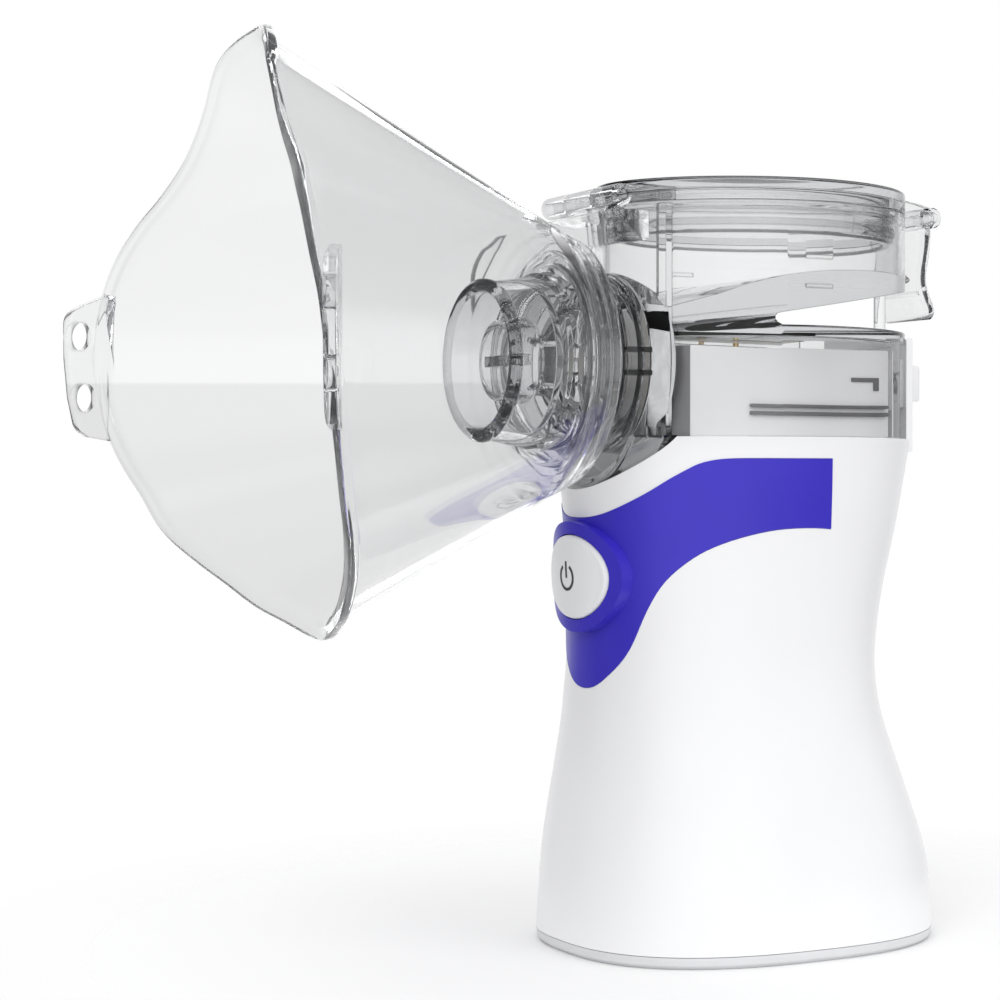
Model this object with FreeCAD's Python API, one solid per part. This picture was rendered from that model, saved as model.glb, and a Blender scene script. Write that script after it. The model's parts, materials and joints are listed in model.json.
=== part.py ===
import FreeCAD, Part
import os, math
from FreeCAD import Vector

# Handheld mesh nebulizer with a removable medicine cup and a face mask.
# Frame: millimetres, +Z up, origin at the centre of the base on the table.
# Front is -Y, where the spray port and mask are; back is +Y, with the release button.

# ---------------------------------------------------------- shared dimensions
# Housing stations: height, half width X, half depth Y, centre Y, superellipse power
BODY = [
    (1.9, 24.05, 31.25, 0.02, 2.56), (6.0, 24.2, 31.02, 0.05, 2.55),
    (11.1, 24.2, 30.50, -0.05, 2.54), (15.8, 23.8, 29.76, -0.38, 2.53),
    (20.9, 23.2, 28.47, -0.94, 2.52), (25.3, 22.6, 27.36, -1.38, 2.49),
    (30.1, 21.9, 26.15, -1.89, 2.45), (34.8, 21.2, 25.12, -2.36, 2.40),
    (39.5, 20.75, 24.50, -2.64, 2.36), (44.3, 20.45, 24.32, -2.58, 2.31),
    (49.0, 20.4, 24.72, -2.34, 2.27), (53.8, 20.45, 25.40, -2.00, 2.22),
    (58.5, 20.55, 26.25, -1.46, 2.17), (63.2, 20.7, 27.15, -0.84, 2.12),
    (68.0, 20.9, 28.08, -0.42, 2.08), (72.7, 21.05, 28.95, -0.08, 2.04),
    (78.4, 21.3, 29.85, 0.15, 2.0)]
BASE_STATION = BODY[0][1:]
Z_BASE = BODY[0][0]     # bottom of the white housing
Z_DECK = BODY[-1][0]    # top of the housing, under the cup
WALL = 2.0              # housing wall
STATION_GAP = 1.5       # least height between a loft end and a station

# Cup and lid outline: half width X, half depth Y, centre Y, superellipse power
CUP_X, CUP_Y, CUP_CENTRE_Y, CUP_POWER = 20.1, 26.55, 3.2, 1.89
CUP_WALL = 1.4
Z_SKIRT0, Z_SKIRT1 = 78.5, 95.3
Z_RIM = 113.9           # top of the reservoir wall
Z_LID = 117.5
SKIRT_FRONT = -19.2     # flat front of the cup skirt

PORT_Z = 89.8           # height of the spray port axis
DRUM_R = 13.75          # round drum on the port axis
DRUM_JOINT_Y, DRUM_FRONT_Y = -23.5, -33.0
SCOOP_R, SCOOP_Y, SCOOP_WALL = 19.3, -19.0, 1.8
SHROUD_R = 19.0

HINGE, HINGE_R = (-27.0, 114.3), 1.75    # lid hinge axis (y, z), knuckle radius
LATCH, LATCH_R = (33.0, 114.2), 1.65     # latch axis (y, z), knuckle radius
PIN_R, PIN_BORE = 0.85, 0.90

BTN_Z, BTN_X, BTN_HEIGHT = 57.2, 8.45, 6.4    # power button centre and half axes
RING_X, RING_HEIGHT = 10.6, 8.45              # ring round the button, half axes
REL_X, REL_Y = 6.0, 31.95                     # release button half width, outer face
REL_Z0, REL_Z1, REL_GAP = 84.6, 90.4, 0.15
REL_MID_Z = (REL_Z0 + REL_Z1) / 2
UPSTAND_OFFSET = 1.2                          # rear upstand, outside the cup outline
USB_X, USB_Z0, USB_Z1, USB_GAP = 3.75, 11.75, 14.45, 0.35

BAT_R, BAT_L, BAT_X, BAT_Y, BAT_Z = 7.25, 50.0, 7.95, 5.0, 5.4   # AA cells
BAT_TOP = BAT_Z + BAT_L
NUB_R, NUB_L = 2.7, 1.2
TRAY_R, TRAY_Z0, TRAY_Z1 = 8.35, 4.2, 61.0
DOOR_X, DOOR_Y0, DOOR_Y1 = 17.3, -5.2, 15.6
DOOR_HINGE, DOOR_PIN_R = (17.5, 1.8), 0.6     # axis (y, z)

BOARD_FRONT, BOARD_BACK = -14.0, -12.4
BOSSES = [(-12.6, 24.0), (12.6, 24.0), (-12.6, 64.5), (12.6, 64.5)]    # board, (x, z)
FEET = [(-15.5, -19.0), (15.5, -19.0), (-15.5, 22.0), (15.5, 22.0)]    # base, (x, y)
TOWER_SCREWS = [(0, -11.0), (0, 15.5)]                                 # (x, y)
PINS = [(-5.0, -3.0), (5.0, -3.0)]                                     # (x, y)
ELECTRODES = [(-7.4, -2.6), (2.6, 7.4)]                                # (x0, x1)
ELECTRODE_TOP = 94.5


# -------------------------------------------------------------------- helpers
def spline(points, closed=False):
    curve = Part.BSplineCurve()
    curve.interpolate(Points=points, PeriodicFlag=closed)
    return curve


def superellipse(half_x, half_y, centre_y, power, z, count=56):
    points = []
    for i in range(count):
        # even polar angles keep the points even on the flat flanks
        angle = 2 * math.pi * i / count
        cos, sin = math.cos(angle), math.sin(angle)
        radius = (abs(cos / half_x) ** power + abs(sin / half_y) ** power) ** (-1.0 / power)
        points.append(Vector(radius * cos, centre_y + radius * sin, z))
    return Part.Wire([spline(points, True).toShape()])


def station_at(z):
    """Housing outline at a height, held constant past the end stations."""
    if z <= BODY[0][0]:
        return BODY[0][1:]
    for low, high in zip(BODY, BODY[1:]):
        if z <= high[0]:
            part = (z - low[0]) / (high[0] - low[0])
            return tuple(a + (b - a) * part for a, b in zip(low[1:], high[1:]))
    return BODY[-1][1:]


def station_wire(station, offset, z):
    half_x, half_y, centre_y, power = station
    return superellipse(half_x + offset, half_y + offset, centre_y, power, z)


def body_loft(offset, z0=Z_BASE, z1=Z_DECK):
    between = [row[0] for row in BODY if z0 + STATION_GAP < row[0] < z1 - STATION_GAP]
    wires = [station_wire(station_at(z), offset, z) for z in [z0] + between + [z1]]
    return Part.makeLoft(wires, True, False)


def cup_prism(offset, z0, z1):
    wire = superellipse(CUP_X + offset, CUP_Y + offset, CUP_CENTRE_Y, CUP_POWER, z0, 72)
    return Part.Face(wire).extrude(Vector(0, 0, z1 - z0))


def box(x0, x1, y0, y1, z0, z1):
    x0, x1 = sorted((x0, x1))
    return Part.makeBox(x1 - x0, y1 - y0, z1 - z0, Vector(x0, y0, z0))


def mid_box(half_x, y0, y1, z0, z1):
    return box(-half_x, half_x, y0, y1, z0, z1)


def cyl_x(radius, x0, x1, y, z):
    x0, x1 = sorted((x0, x1))
    return Part.makeCylinder(radius, x1 - x0, Vector(x0, y, z), Vector(1, 0, 0))


def cyl_y(radius, y0, y1, x=0.0, z=PORT_Z):
    y0, y1 = sorted((y0, y1))
    return Part.makeCylinder(radius, y1 - y0, Vector(x, y0, z), Vector(0, 1, 0))


def cyl_z(radius, z0, z1, x=0.0, y=0.0):
    return Part.makeCylinder(radius, z1 - z0, Vector(x, y, z0), Vector(0, 0, 1))


def tube_y(outer, inner, y0, y1, z=PORT_Z):
    return cyl_y(outer, y0, y1, 0, z).cut(cyl_y(inner, y0 - 1, y1 + 1, 0, z))


def polygon_face(points):
    return Part.Face(Part.makePolygon(points + [points[0]]))


def revolve_y(profile):
    """Solid of revolution about the port axis from (radius, y) points."""
    face = polygon_face([Vector(0, y, PORT_Z + radius) for radius, y in profile])
    return face.revolve(Vector(0, 0, PORT_Z), Vector(0, 1, 0), 360)


def washer(inner, outer, y0, y1):
    return revolve_y([(inner, y0), (outer, y0), (outer, y1), (inner, y1)])


def prism_yz(points, x0, x1):
    x0, x1 = sorted((x0, x1))
    face = polygon_face([Vector(x0, y, z) for y, z in points])
    return face.extrude(Vector(x1 - x0, 0, 0))


def ellipse_y(half_x, half_z, y0, y1):
    """Elliptical prism along Y, centred on the power button."""
    curve = Part.Ellipse(Vector(half_x, y0, BTN_Z), Vector(0, y0, BTN_Z + half_z),
                         Vector(0, y0, BTN_Z))
    return Part.Face(Part.Wire([curve.toShape()])).extrude(Vector(0, y1 - y0, 0))


def rounded_box(x0, x1, y0, y1, z0, z1, radius):
    solid = box(x0, x1, y0, y1, z0, z1)
    upright = [e for e in solid.Edges
               if abs(e.Vertexes[0].Z - e.Vertexes[1].Z) > (z1 - z0) * 0.9]
    return solid.makeFillet(radius, upright)


def join(first, second):
    return first.fuse(second).removeSplitter()


def sweep(path, profile):
    shape = path.makePipeShell([profile], True, True)
    return shape if shape.ShapeType == "Solid" else Part.Solid(shape)


def spring(x, y, z, length, coil_r, wire_r, turns, along_y=False):
    """Coil spring from its start point, running up or towards the back."""
    helix = Part.makeHelix(length / turns, length, coil_r)
    profile = Part.Wire([Part.makeCircle(wire_r, Vector(coil_r, 0, 0), Vector(0, 1, 0.12))])
    coil = sweep(Part.Wire(helix.Edges), profile)
    if along_y:
        coil.rotate(Vector(0, 0, 0), Vector(1, 0, 0), -90)
    coil.translate(Vector(x, y, z))
    return coil


# -------------------------------------------------- white housing and its panel
# Upper and lower edge of the accent panel, right half seen as (x, z)
PANEL_UP = [
    (0, 66.2), (3.4, 66.35), (6.4, 66.95), (10.3, 68.6), (13.3, 70.6), (15.0, 72.2),
    (16.2, 73.4), (17.2, 74.4), (18.4, 75.0), (20.0, 75.15), (22.0, 75.15), (24, 75.15),
    (27, 75.15)]
PANEL_LOW = [
    (0, 40.2), (3.2, 40.8), (6.0, 42.5), (8.6, 44.9), (10.3, 47.6), (11.6, 50.8),
    (12.9, 54.0), (14.3, 56.9), (15.8, 59.2), (17.3, 61.2), (18.8, 62.8), (20.1, 64.1),
    (21.0, 64.9), (23.0, 65.2), (27, 65.2)]
PANEL_Y0, PANEL_Y1 = -42.0, 4.0


def panel_prism(gap):
    """Panel outline seen from the front, grown by a gap and run back along Y."""
    up = [(-x, z + gap) for x, z in reversed(PANEL_UP[1:])]
    up += [(x, z + gap) for x, z in PANEL_UP]
    low = [(x, z - gap) for x, z in reversed(PANEL_LOW)]
    low += [(-x, z - gap) for x, z in PANEL_LOW[1:]]
    up, low = [[Vector(x, PANEL_Y0, z) for x, z in row] for row in (up, low)]
    edges = [spline(up).toShape(), Part.makeLine(up[-1], low[0]),
             spline(low).toShape(), Part.makeLine(low[-1], up[0])]
    return Part.Face(Part.Wire(edges)).extrude(Vector(0, PANEL_Y1 + gap - PANEL_Y0, 0))


def upstand():
    """Wall behind the cup that carries the release button."""
    wall = cup_prism(UPSTAND_OFFSET, Z_DECK - 6, 94.5).cut(cup_prism(0.3, Z_DECK - 7, 95.5))
    return wall.common(mid_box(11, 15, 40, Z_DECK - 1.9, 95))


def main_housing():
    outer = body_loft(0.0)
    housing = outer.cut(body_loft(-WALL, Z_BASE - 1.0, Z_DECK - WALL))
    # round hollow under the port, with its own wall
    housing = housing.fuse(outer.common(cyl_y(SCOOP_R + SCOOP_WALL, -40, SCOOP_Y + SCOOP_WALL)))
    housing = housing.cut(cyl_y(SCOOP_R, -40, SCOOP_Y))
    housing = housing.fuse(upstand())
    housing = housing.cut(mid_box(REL_X + REL_GAP, 25, 36, REL_Z0 - REL_GAP, REL_Z1 + REL_GAP))
    # pocket for the accent panel and hole for the power button
    housing = housing.cut(panel_prism(0.05).cut(body_loft(-1.15, Z_BASE - 0.5, Z_DECK + 0.5)))
    housing = housing.cut(ellipse_y(BTN_X + 0.2, BTN_HEIGHT + 0.2, -36, -20))
    # bosses stay inside this core, short of the outer surface
    core = body_loft(-1.25, Z_BASE + 0.1, Z_DECK - 0.3)
    for x, z in BOSSES:
        housing = housing.fuse(cyl_y(2.5, -30, BOARD_FRONT - 0.05, x, z).common(core))
        housing = housing.cut(cyl_y(1.0, -21.5, -13, x, z))
    for x, y in FEET:
        web = box(x, 1.5 * x, y - 1.0, y + 1.0, 4.05, 13.0)
        housing = housing.fuse(cyl_z(3.0, 4.05, 15.0, x, y).fuse(web).common(core))
        housing = housing.cut(cyl_z(1.1, 3.0, 12.6, x, y))
    # wire passage and tower screw holes in the deck, USB slot low on the back
    housing = housing.cut(cyl_z(4.0, Z_DECK - 4, Z_DECK + 1, 0, 3))
    for x, y in TOWER_SCREWS:
        housing = housing.cut(cyl_z(1.25, Z_DECK - 4, Z_DECK + 1, x, y))
    return housing.cut(mid_box(USB_X + USB_GAP, 24, 36, USB_Z0 - USB_GAP, USB_Z1 + USB_GAP))


def accent_panel():
    panel = panel_prism(0.0).common(body_loft(0.12))
    ring = ellipse_y(RING_X, RING_HEIGHT, -38, -22).common(body_loft(1.75, 40, 74))
    panel = panel.fuse(ring).cut(body_loft(-0.9, Z_BASE - 0.5, Z_DECK + 0.5))
    return panel.cut(ellipse_y(BTN_X + 0.15, BTN_HEIGHT + 0.15, -40, -18))


# ---------------------------------------------------------- light base and door
def base_plate():
    plate = Part.makeLoft([station_wire(BASE_STATION, offset, z) for offset, z in
                           ((-0.75, 0.0), (-0.15, 0.6), (0.0, Z_BASE - 0.12))], True, True)
    # spigot that fits inside the housing wall
    spigot = Part.makeLoft([station_wire(BASE_STATION, -WALL - 0.15, z)
                            for z in (Z_BASE - 0.3, 3.9)], True, True)
    plate = plate.fuse(spigot)
    plate = plate.cut(rounded_box(-DOOR_X - 0.25, DOOR_X + 0.25, DOOR_Y0 - 0.25, 19.35,
                                  -1, 2.45, 1.5))
    plate = plate.cut(rounded_box(-16.9, 16.9, -4.2, 14.2, 2, 6, 1.5))
    for side in (-1, 1):   # two ears that hold the door pin
        plate = plate.fuse(box(side * 8.2, side * 11.0, 16.3, 19.6, 0.45, 3.2))
    plate = plate.cut(cyl_x(DOOR_PIN_R, -13.0, 13.0, *DOOR_HINGE))
    plate = plate.cut(cyl_x(1.5, -8.15, 8.15, *DOOR_HINGE))
    for x, y in FEET:
        plate = plate.cut(cyl_z(2.4, -1, 1.5, x, y)).cut(cyl_z(1.3, -1, 6, x, y))
    return plate.removeSplitter()


def battery_door():
    knuckle_x = 7.9
    door = rounded_box(-DOOR_X, DOOR_X, DOOR_Y0, DOOR_Y1, 0.35, 2.25, 1.3)
    door = door.fuse(mid_box(knuckle_x, 14.5, DOOR_HINGE[0], 0.75, 2.25))
    door = door.fuse(cyl_x(1.15, -knuckle_x, knuckle_x, *DOOR_HINGE))
    door = door.cut(cyl_x(DOOR_PIN_R + 0.05, -9, 9, *DOOR_HINGE))
    finger_recess = rounded_box(-5, 5, -4.4, -1.4, 0, 1.0, 1.2)
    return door.cut(finger_recess).removeSplitter()


def door_hinge_pin():
    return cyl_x(DOOR_PIN_R, -11.0, 11.0, *DOOR_HINGE)


def door_contact():
    """Strip joining the two cells, with a cone under each."""
    bridge = rounded_box(-14.0, 14.0, 0.5, 9.5, 2.3, 2.7, 1.5)
    for side in (-1, 1):
        bridge = bridge.fuse(Part.makeCone(3.2, 1.6, 2.45, Vector(side * BAT_X, BAT_Y, 2.7)))
    return bridge.removeSplitter()


def base_screws():
    screws = []
    for x, y in FEET:
        screw = cyl_z(2.2, 0.25, 1.5, x, y).fuse(cyl_z(1.1, 1.5, 12.0, x, y))
        for half_x, half_y in ((1.4, 0.3), (0.3, 1.4)):   # cross recess
            screw = screw.cut(box(x - half_x, x + half_x, y - half_y, y + half_y, 0.1, 0.8))
        screws.append(screw.removeSplitter())
    return Part.makeCompound(screws)


# --------------------------------------------------------------- battery pack
def battery_tray():
    tray = cyl_z(TRAY_R, TRAY_Z0, TRAY_Z1, -BAT_X, BAT_Y)
    tray = tray.fuse(cyl_z(TRAY_R, TRAY_Z0, TRAY_Z1, BAT_X, BAT_Y))
    tray = tray.fuse(mid_box(BAT_X, BAT_Y - 3, BAT_Y + 3, TRAY_Z0, TRAY_Z1))
    for side in (-1, 1):
        tray = tray.cut(cyl_z(BAT_R + 0.25, 4.0, 59.0, side * BAT_X, BAT_Y))
    front_window = mid_box(20, -6, -0.6, 12, 52)
    return tray.cut(front_window).removeSplitter()


def aa_cells():
    """Cell at -X stands nub down, cell at +X nub up."""
    cells = []
    for x, can_z, nub_z in ((-BAT_X, BAT_Z + NUB_L, BAT_Z), (BAT_X, BAT_Z, BAT_TOP - NUB_L)):
        cells.append(join(cyl_z(BAT_R, can_z, can_z + BAT_L - NUB_L, x, BAT_Y),
                          cyl_z(NUB_R, nub_z, nub_z + NUB_L, x, BAT_Y)))
    return Part.makeCompound(cells)


def positive_contact():
    return join(cyl_z(3.4, 58.4, 58.95, BAT_X, BAT_Y),
                cyl_z(2.2, BAT_TOP + 0.05, 58.4, BAT_X, BAT_Y))


def negative_spring():
    return spring(-BAT_X, BAT_Y, 55.85, length=2.6, coil_r=3.4, wire_r=0.35, turns=2.5)


# ---------------------------------------------------------------- electronics
def control_board():
    board = mid_box(15.2, BOARD_FRONT, BOARD_BACK, 18.0, 68.0)
    for x, z in BOSSES:
        board = board.cut(cyl_y(1.2, -15, -12, x, z))
    return board


def board_screws():
    head_y, screws = BOARD_BACK + 0.05, []
    for x, z in BOSSES:
        screw = cyl_y(2.0, head_y, -11.2, x, z).fuse(cyl_y(1.0, -20.5, head_y, x, z))
        slot = box(x - 1.3, x + 1.3, -11.8, -11.0, z - 0.3, z + 0.3)
        screws.append(screw.cut(slot).removeSplitter())
    return Part.makeCompound(screws)


def drive_chip():
    return mid_box(4.0, BOARD_BACK, -10.9, 34.0, 42.0)


def boost_inductor():
    return join(box(-11.5, -5.5, BOARD_BACK, -11.4, 44.0, 50.0),
                cyl_y(2.8, -11.4, -8.9, -8.5, 47.0))


def output_capacitors():
    return Part.makeCompound([cyl_y(2.5, BOARD_BACK, -6.4, 8.0, z) for z in (47.0, 53.5)])


def tact_switch():
    body = mid_box(3.0, -17.6, BOARD_FRONT, BTN_Z - 3, BTN_Z + 3)
    return body.cut(cyl_y(1.8, -18, -15.6, 0, BTN_Z))


def switch_plunger():
    return cyl_y(1.74, -18.6, -16.3, 0, BTN_Z)


def usb_socket():
    socket = mid_box(USB_X, 24.6, 30.15, USB_Z0, USB_Z1)
    socket = socket.cut(mid_box(3.35, 26.0, 31.0, 12.1, 14.1))
    tongue = mid_box(2.6, 25.5, 29.6, 12.85, 13.35)
    return join(socket, tongue)


def usb_board():
    return mid_box(6.5, 18.2, 27.2, 10.5, 11.5)


def tower_wires():
    """Two mirrored wires from the board up through the deck to the tower pins."""
    route = [(1.2, -11.7, 66), (1.6, -8, 70), (1.4, 0.5, 74), (1.4, 3.0, 79),
             (3.2, 0.0, 84.5), (5.0, -3.0, 87.7)]
    wires = []
    for side in (-1, 1):
        points = [Vector(side * x, y, z) for x, y, z in route]
        curve = spline(points)
        start = curve.tangent(curve.FirstParameter)[0]
        profile = Part.Wire([Part.makeCircle(0.55, points[0], start)])
        wires.append(sweep(Part.Wire([curve.toShape()]), profile))
    return Part.makeCompound(wires)


# --------------------------------------------------------------- power button
def button_blank():
    """Button cap with its rear flange and stem, before the mark is cut out."""
    cap = ellipse_y(BTN_X, BTN_HEIGHT, -40, -24.4).common(body_loft(2.25, 42, 72))
    # the front edge stays sharp if the kernel cannot round it
    try:
        front = [e for e in cap.Edges if e.BoundBox.YMax < -26.0 and e.BoundBox.XLength > 10]
        cap = cap.makeFillet(0.7, front)
    except Exception:
        pass
    flange = ellipse_y(BTN_X + 0.9, BTN_HEIGHT + 0.9, -22.9, -22.0)
    cap = cap.fuse(flange.fuse(ellipse_y(BTN_X - 1.5, BTN_HEIGHT - 1.5, -25, -22.0)))
    return cap.fuse(cyl_y(1.5, -22.2, -18.65, 0, BTN_Z))


def power_mark():
    """Broken circle and bar set into the front of the button."""
    mark_z = 57.05
    arc = tube_y(2.05, 1.62, -36, -27, mark_z)
    arc = arc.cut(mid_box(0.85, -37, -26, mark_z, mark_z + 4))
    bar = mid_box(0.22, -36, -27, mark_z - 0.05, mark_z + 2.35)
    mark = arc.fuse(bar).cut(body_loft(1.9, 42, 72))
    return mark.common(button_blank())


def power_button_cap():
    return button_blank().cut(power_mark()).removeSplitter()


# ------------------------------------- connector tower and release button
TOWER_TOP = 92.3
TOWER = [(11.9, 20.6), (11.9, -14.9), (9.2, -16.9), (-9.2, -16.9), (-11.9, -14.9),
         (-11.9, 20.6)]    # outline (x, y)


def connector_tower():
    face = polygon_face([Vector(x, y, Z_DECK) for x, y in TOWER])
    tower = face.extrude(Vector(0, 0, TOWER_TOP - Z_DECK))
    tower = tower.cut(mid_box(10.5, -14.2, 19.2, Z_DECK - 1, 90.8))
    for side in (-1, 1):   # guide rails for the cup
        for z0, z1 in ((82.0, 82.6), (83.2, 83.7)):
            tower = tower.fuse(box(side * 11.8, side * 12.6, -5.0, 20.0, z0, z1))
    for x, y in TOWER_SCREWS:
        tower = tower.fuse(cyl_z(2.8, Z_DECK, 91.0, x, y)).cut(cyl_z(1.0, Z_DECK - 1, 88.0, x, y))
    for x, y in PINS:
        tower = tower.cut(cyl_z(0.75, 88, 94, x, y))
    return tower.removeSplitter()


def contact_pins():
    shoulder_z = TOWER_TOP + 0.3
    return Part.makeCompound([join(cyl_z(0.75, 88.5, shoulder_z, x, y),
                                   cyl_z(0.45, shoulder_z, 93.5, x, y)) for x, y in PINS])


def tower_screws():
    seat_z = Z_DECK - WALL - 0.05
    return Part.makeCompound([join(cyl_z(2.1, seat_z - 1.25, seat_z, x, y),
                                   cyl_z(1.0, seat_z, 86.5, x, y)) for x, y in TOWER_SCREWS])


def release_button_cap():
    cap = mid_box(REL_X, 28.0, REL_Y, REL_Z0, REL_Z1)
    cap = cap.makeFillet(0.7, [e for e in cap.Edges if e.BoundBox.YMin > REL_Y - 0.1])
    cap = cap.fuse(mid_box(REL_X, 27.2, 28.6, REL_Z0 - 1, REL_Z1 + 1))
    return cap.cut(cyl_y(2.2, 26, 28.9, 0, REL_MID_Z)).removeSplitter()


def release_spring():
    return spring(0, 21.45, REL_MID_Z, length=6.8, coil_r=1.7, wire_r=0.25, turns=5,
                  along_y=True)


# --------------------------------------------------------- clear medicine cup
# Side outlines as (y, z)
CAVITY = [
    (-30, 97.4), (-20, 97.6), (-16, 98.6), (-12, 99.9), (-8, 101.4), (-3, 102.7),
    (2, 103.4), (8, 103.9), (14, 104.15), (20, 104.25), (34, 104.25), (34, 120), (-30, 120)]
UNDER_FLOOR = [(-3.6, 95.3), (-4.9, 95.9), (-4.9, 96.7), (-3.6, 97.15), (31, 102.75),
               (31, 95.3)]
HINGE_WEB = [(-27.9, 112.3), (-27.4, 111.6), (-23.6, 108.0), (-22.4, 108.0), (-22.4, 112.3)]
HINGE_ARM = [(-28.2, 113.6), (-28.2, 112.2), (-22.4, 112.2), (-22.4, 113.85),
             (-27.0, 113.85)]
CATCH = [(29.0, 103.4), (30.6, 103.9), (31.0, 104.4), (29.0, 106.0)]
CUP_KNUCKLE_X = 4.0


def skirt():
    ceiling = Z_SKIRT1 - 1.6
    solid = cup_prism(0.0, Z_SKIRT0, Z_SKIRT1).common(mid_box(40, SKIRT_FRONT, 60, 70, 130))
    hollow = cup_prism(-1.5, Z_SKIRT0 - 1, ceiling)
    solid = solid.cut(hollow.common(mid_box(40, SKIRT_FRONT + 1.6, 60, 70, 130)))
    return solid.cut(mid_box(13.6, 14, 40, Z_SKIRT0 - 1, ceiling))   # rear opening


def reservoir():
    solid = cup_prism(0.0, Z_SKIRT1, Z_RIM)
    solid = solid.cut(cup_prism(-CUP_WALL, 96, 122).common(prism_yz(CAVITY, -30, 30)))
    return solid.cut(prism_yz(UNDER_FLOOR, -40, 40))


def medicine_cup():
    inside = cup_prism(-CUP_WALL, 96, 122)
    cup = skirt().fuse(reservoir())
    cup = cup.fuse(cyl_z(0.95, 95.0, 103.2, 0, 28.1))   # post at the back
    drum = cyl_y(DRUM_R, DRUM_JOINT_Y, SKIRT_FRONT + 0.05)
    cup = cup.fuse(drum.cut(cup_prism(-CUP_WALL, 97.4, 120)))
    # half-round shroud under the drum, with its back wall
    lower = mid_box(25, -30, -15, 60, 84.0)
    cup = cup.fuse(tube_y(SHROUD_R, SHROUD_R - 1.4, -27.5, -19.7).common(lower))
    cup = cup.fuse(tube_y(SHROUD_R - 0.5, DRUM_R - 0.3, -21.2, -19.7).common(lower))
    for side in (-1, 1):   # vertical ribs at the front corners
        rib = box(side * 9.6, side * 11.2, -20.2, -18.4, Z_SKIRT0, Z_RIM)
        cup = cup.fuse(rib.common(cup_prism(0.9, 70, 120)))
    cup = cup.fuse(prism_yz(HINGE_WEB, -10.8, 10.8).cut(inside))
    cup = cup.fuse(prism_yz(HINGE_ARM, -CUP_KNUCKLE_X, CUP_KNUCKLE_X).cut(inside))
    cup = cup.fuse(cyl_x(HINGE_R, -CUP_KNUCKLE_X, CUP_KNUCKLE_X, *HINGE))
    cup = cup.cut(cyl_x(PIN_BORE, -5, 5, *HINGE))
    cup = cup.fuse(prism_yz(CATCH, -4.5, 4.5).cut(cup_prism(-0.2, 95, 120)))
    # medicine way down to the mesh
    cup = cup.cut(cyl_y(4.5, -24, -20.6)).cut(mid_box(3.0, -21.9, -20.6, PORT_Z, 98.2))
    for x0, x1 in ELECTRODES:
        cup = cup.cut(box(x0, x1, -17.0, 8.0, ELECTRODE_TOP - 0.9, ELECTRODE_TOP))
    return cup.removeSplitter()


def cup_electrodes():
    return Part.makeCompound([box(x0, x1, -17.0, 8.0, ELECTRODE_TOP - 0.85, ELECTRODE_TOP)
                              for x0, x1 in ELECTRODES])


# ------------------------------------------ nozzle and mesh stack, on the port axis
STACK_R = 8.0    # outer radius of the seals and the piezo ring
SEAL_BORE = 4.6
MESH_R = 3.6


def nozzle_housing():
    return revolve_y([
        (4.5, -26.3), (8.2, -26.3), (8.2, -23.55), (DRUM_R, -23.55), (DRUM_R, -25.2),
        (DRUM_R - 0.5, -25.2), (DRUM_R - 0.5, -26.2), (DRUM_R, -26.2),
        (DRUM_R, DRUM_FRONT_Y), (11.6, DRUM_FRONT_Y), (11.6, -28.3), (6.2, -28.3)])


def rear_seal():
    return washer(SEAL_BORE, STACK_R, -23.6, -24.5)


def piezo_ring():
    return washer(MESH_R, STACK_R, -24.55, -25.35)


def mesh_disc():
    return cyl_y(MESH_R, -24.8, -25.1)


def front_seal():
    return washer(SEAL_BORE, STACK_R, -25.4, -26.25)


# -------------------------------------------------------------- lid and latch
LATCH_EAR = [(26.0, 114.0), (26.0, 117.0), (32.6, 115.75), (33.0, 114.2), (32.6, 112.7),
             (30.2, 112.9), (30.0, 114.0)]    # (y, z)
LATCH_MID = [(33.3, 113.4), (33.3, 111.5), (33.0, 107.9), (32.4, 104.8), (32.9, 102.2),
             (33.9, 100.2), (34.1, 99.0), (33.5, 98.0)]    # mid line (y, z)
LATCH_HALF_T = 0.7
LATCH_X = 6.0


def lid_shell():
    lid = cup_prism(0.0, Z_RIM + 0.1, Z_LID)
    lid = lid.cut(cup_prism(-1.3, Z_RIM - 1, Z_LID - 1.5))
    # plug wall that hangs into the reservoir
    lid = lid.fuse(cup_prism(-2.7, 109.2, Z_LID - 1.2).cut(cup_prism(-3.9, 108, Z_LID - 1.5)))
    inside = cup_prism(-1.3, 100, 120)
    for side in (-1, 1):
        x0, x1 = side * 4.2, side * 11.0
        lid = lid.fuse(cyl_x(HINGE_R, x0, x1, *HINGE))
        lid = lid.fuse(box(x0, x1, HINGE[0], -17.5, Z_RIM + 0.15, 116.0).cut(inside))
        x0, x1 = side * 6.2, side * 7.7
        lid = lid.fuse(prism_yz(LATCH_EAR, x0, x1).cut(inside))
        lid = lid.fuse(cyl_x(LATCH_R, x0, x1, *LATCH))
    lid = lid.cut(cyl_x(PIN_BORE, -12, 12, *HINGE)).cut(cyl_x(PIN_BORE, -8, 8, *LATCH))
    return lid.removeSplitter()


def lid_hinge_pin():
    return cyl_x(PIN_R, -11.6, 11.6, *HINGE)


def lid_gasket():
    """Sleeve round the lid plug with four ribs."""
    gasket = cup_prism(-2.15, 109.4, 113.7).cut(cup_prism(-2.65, 108, 115))
    for z in (109.6, 110.9, 112.2, 113.3):
        gasket = gasket.fuse(cup_prism(-1.85, z, z + 0.4).cut(cup_prism(-2.4, z - 1, z + 2)))
    return gasket.removeSplitter()


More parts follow.
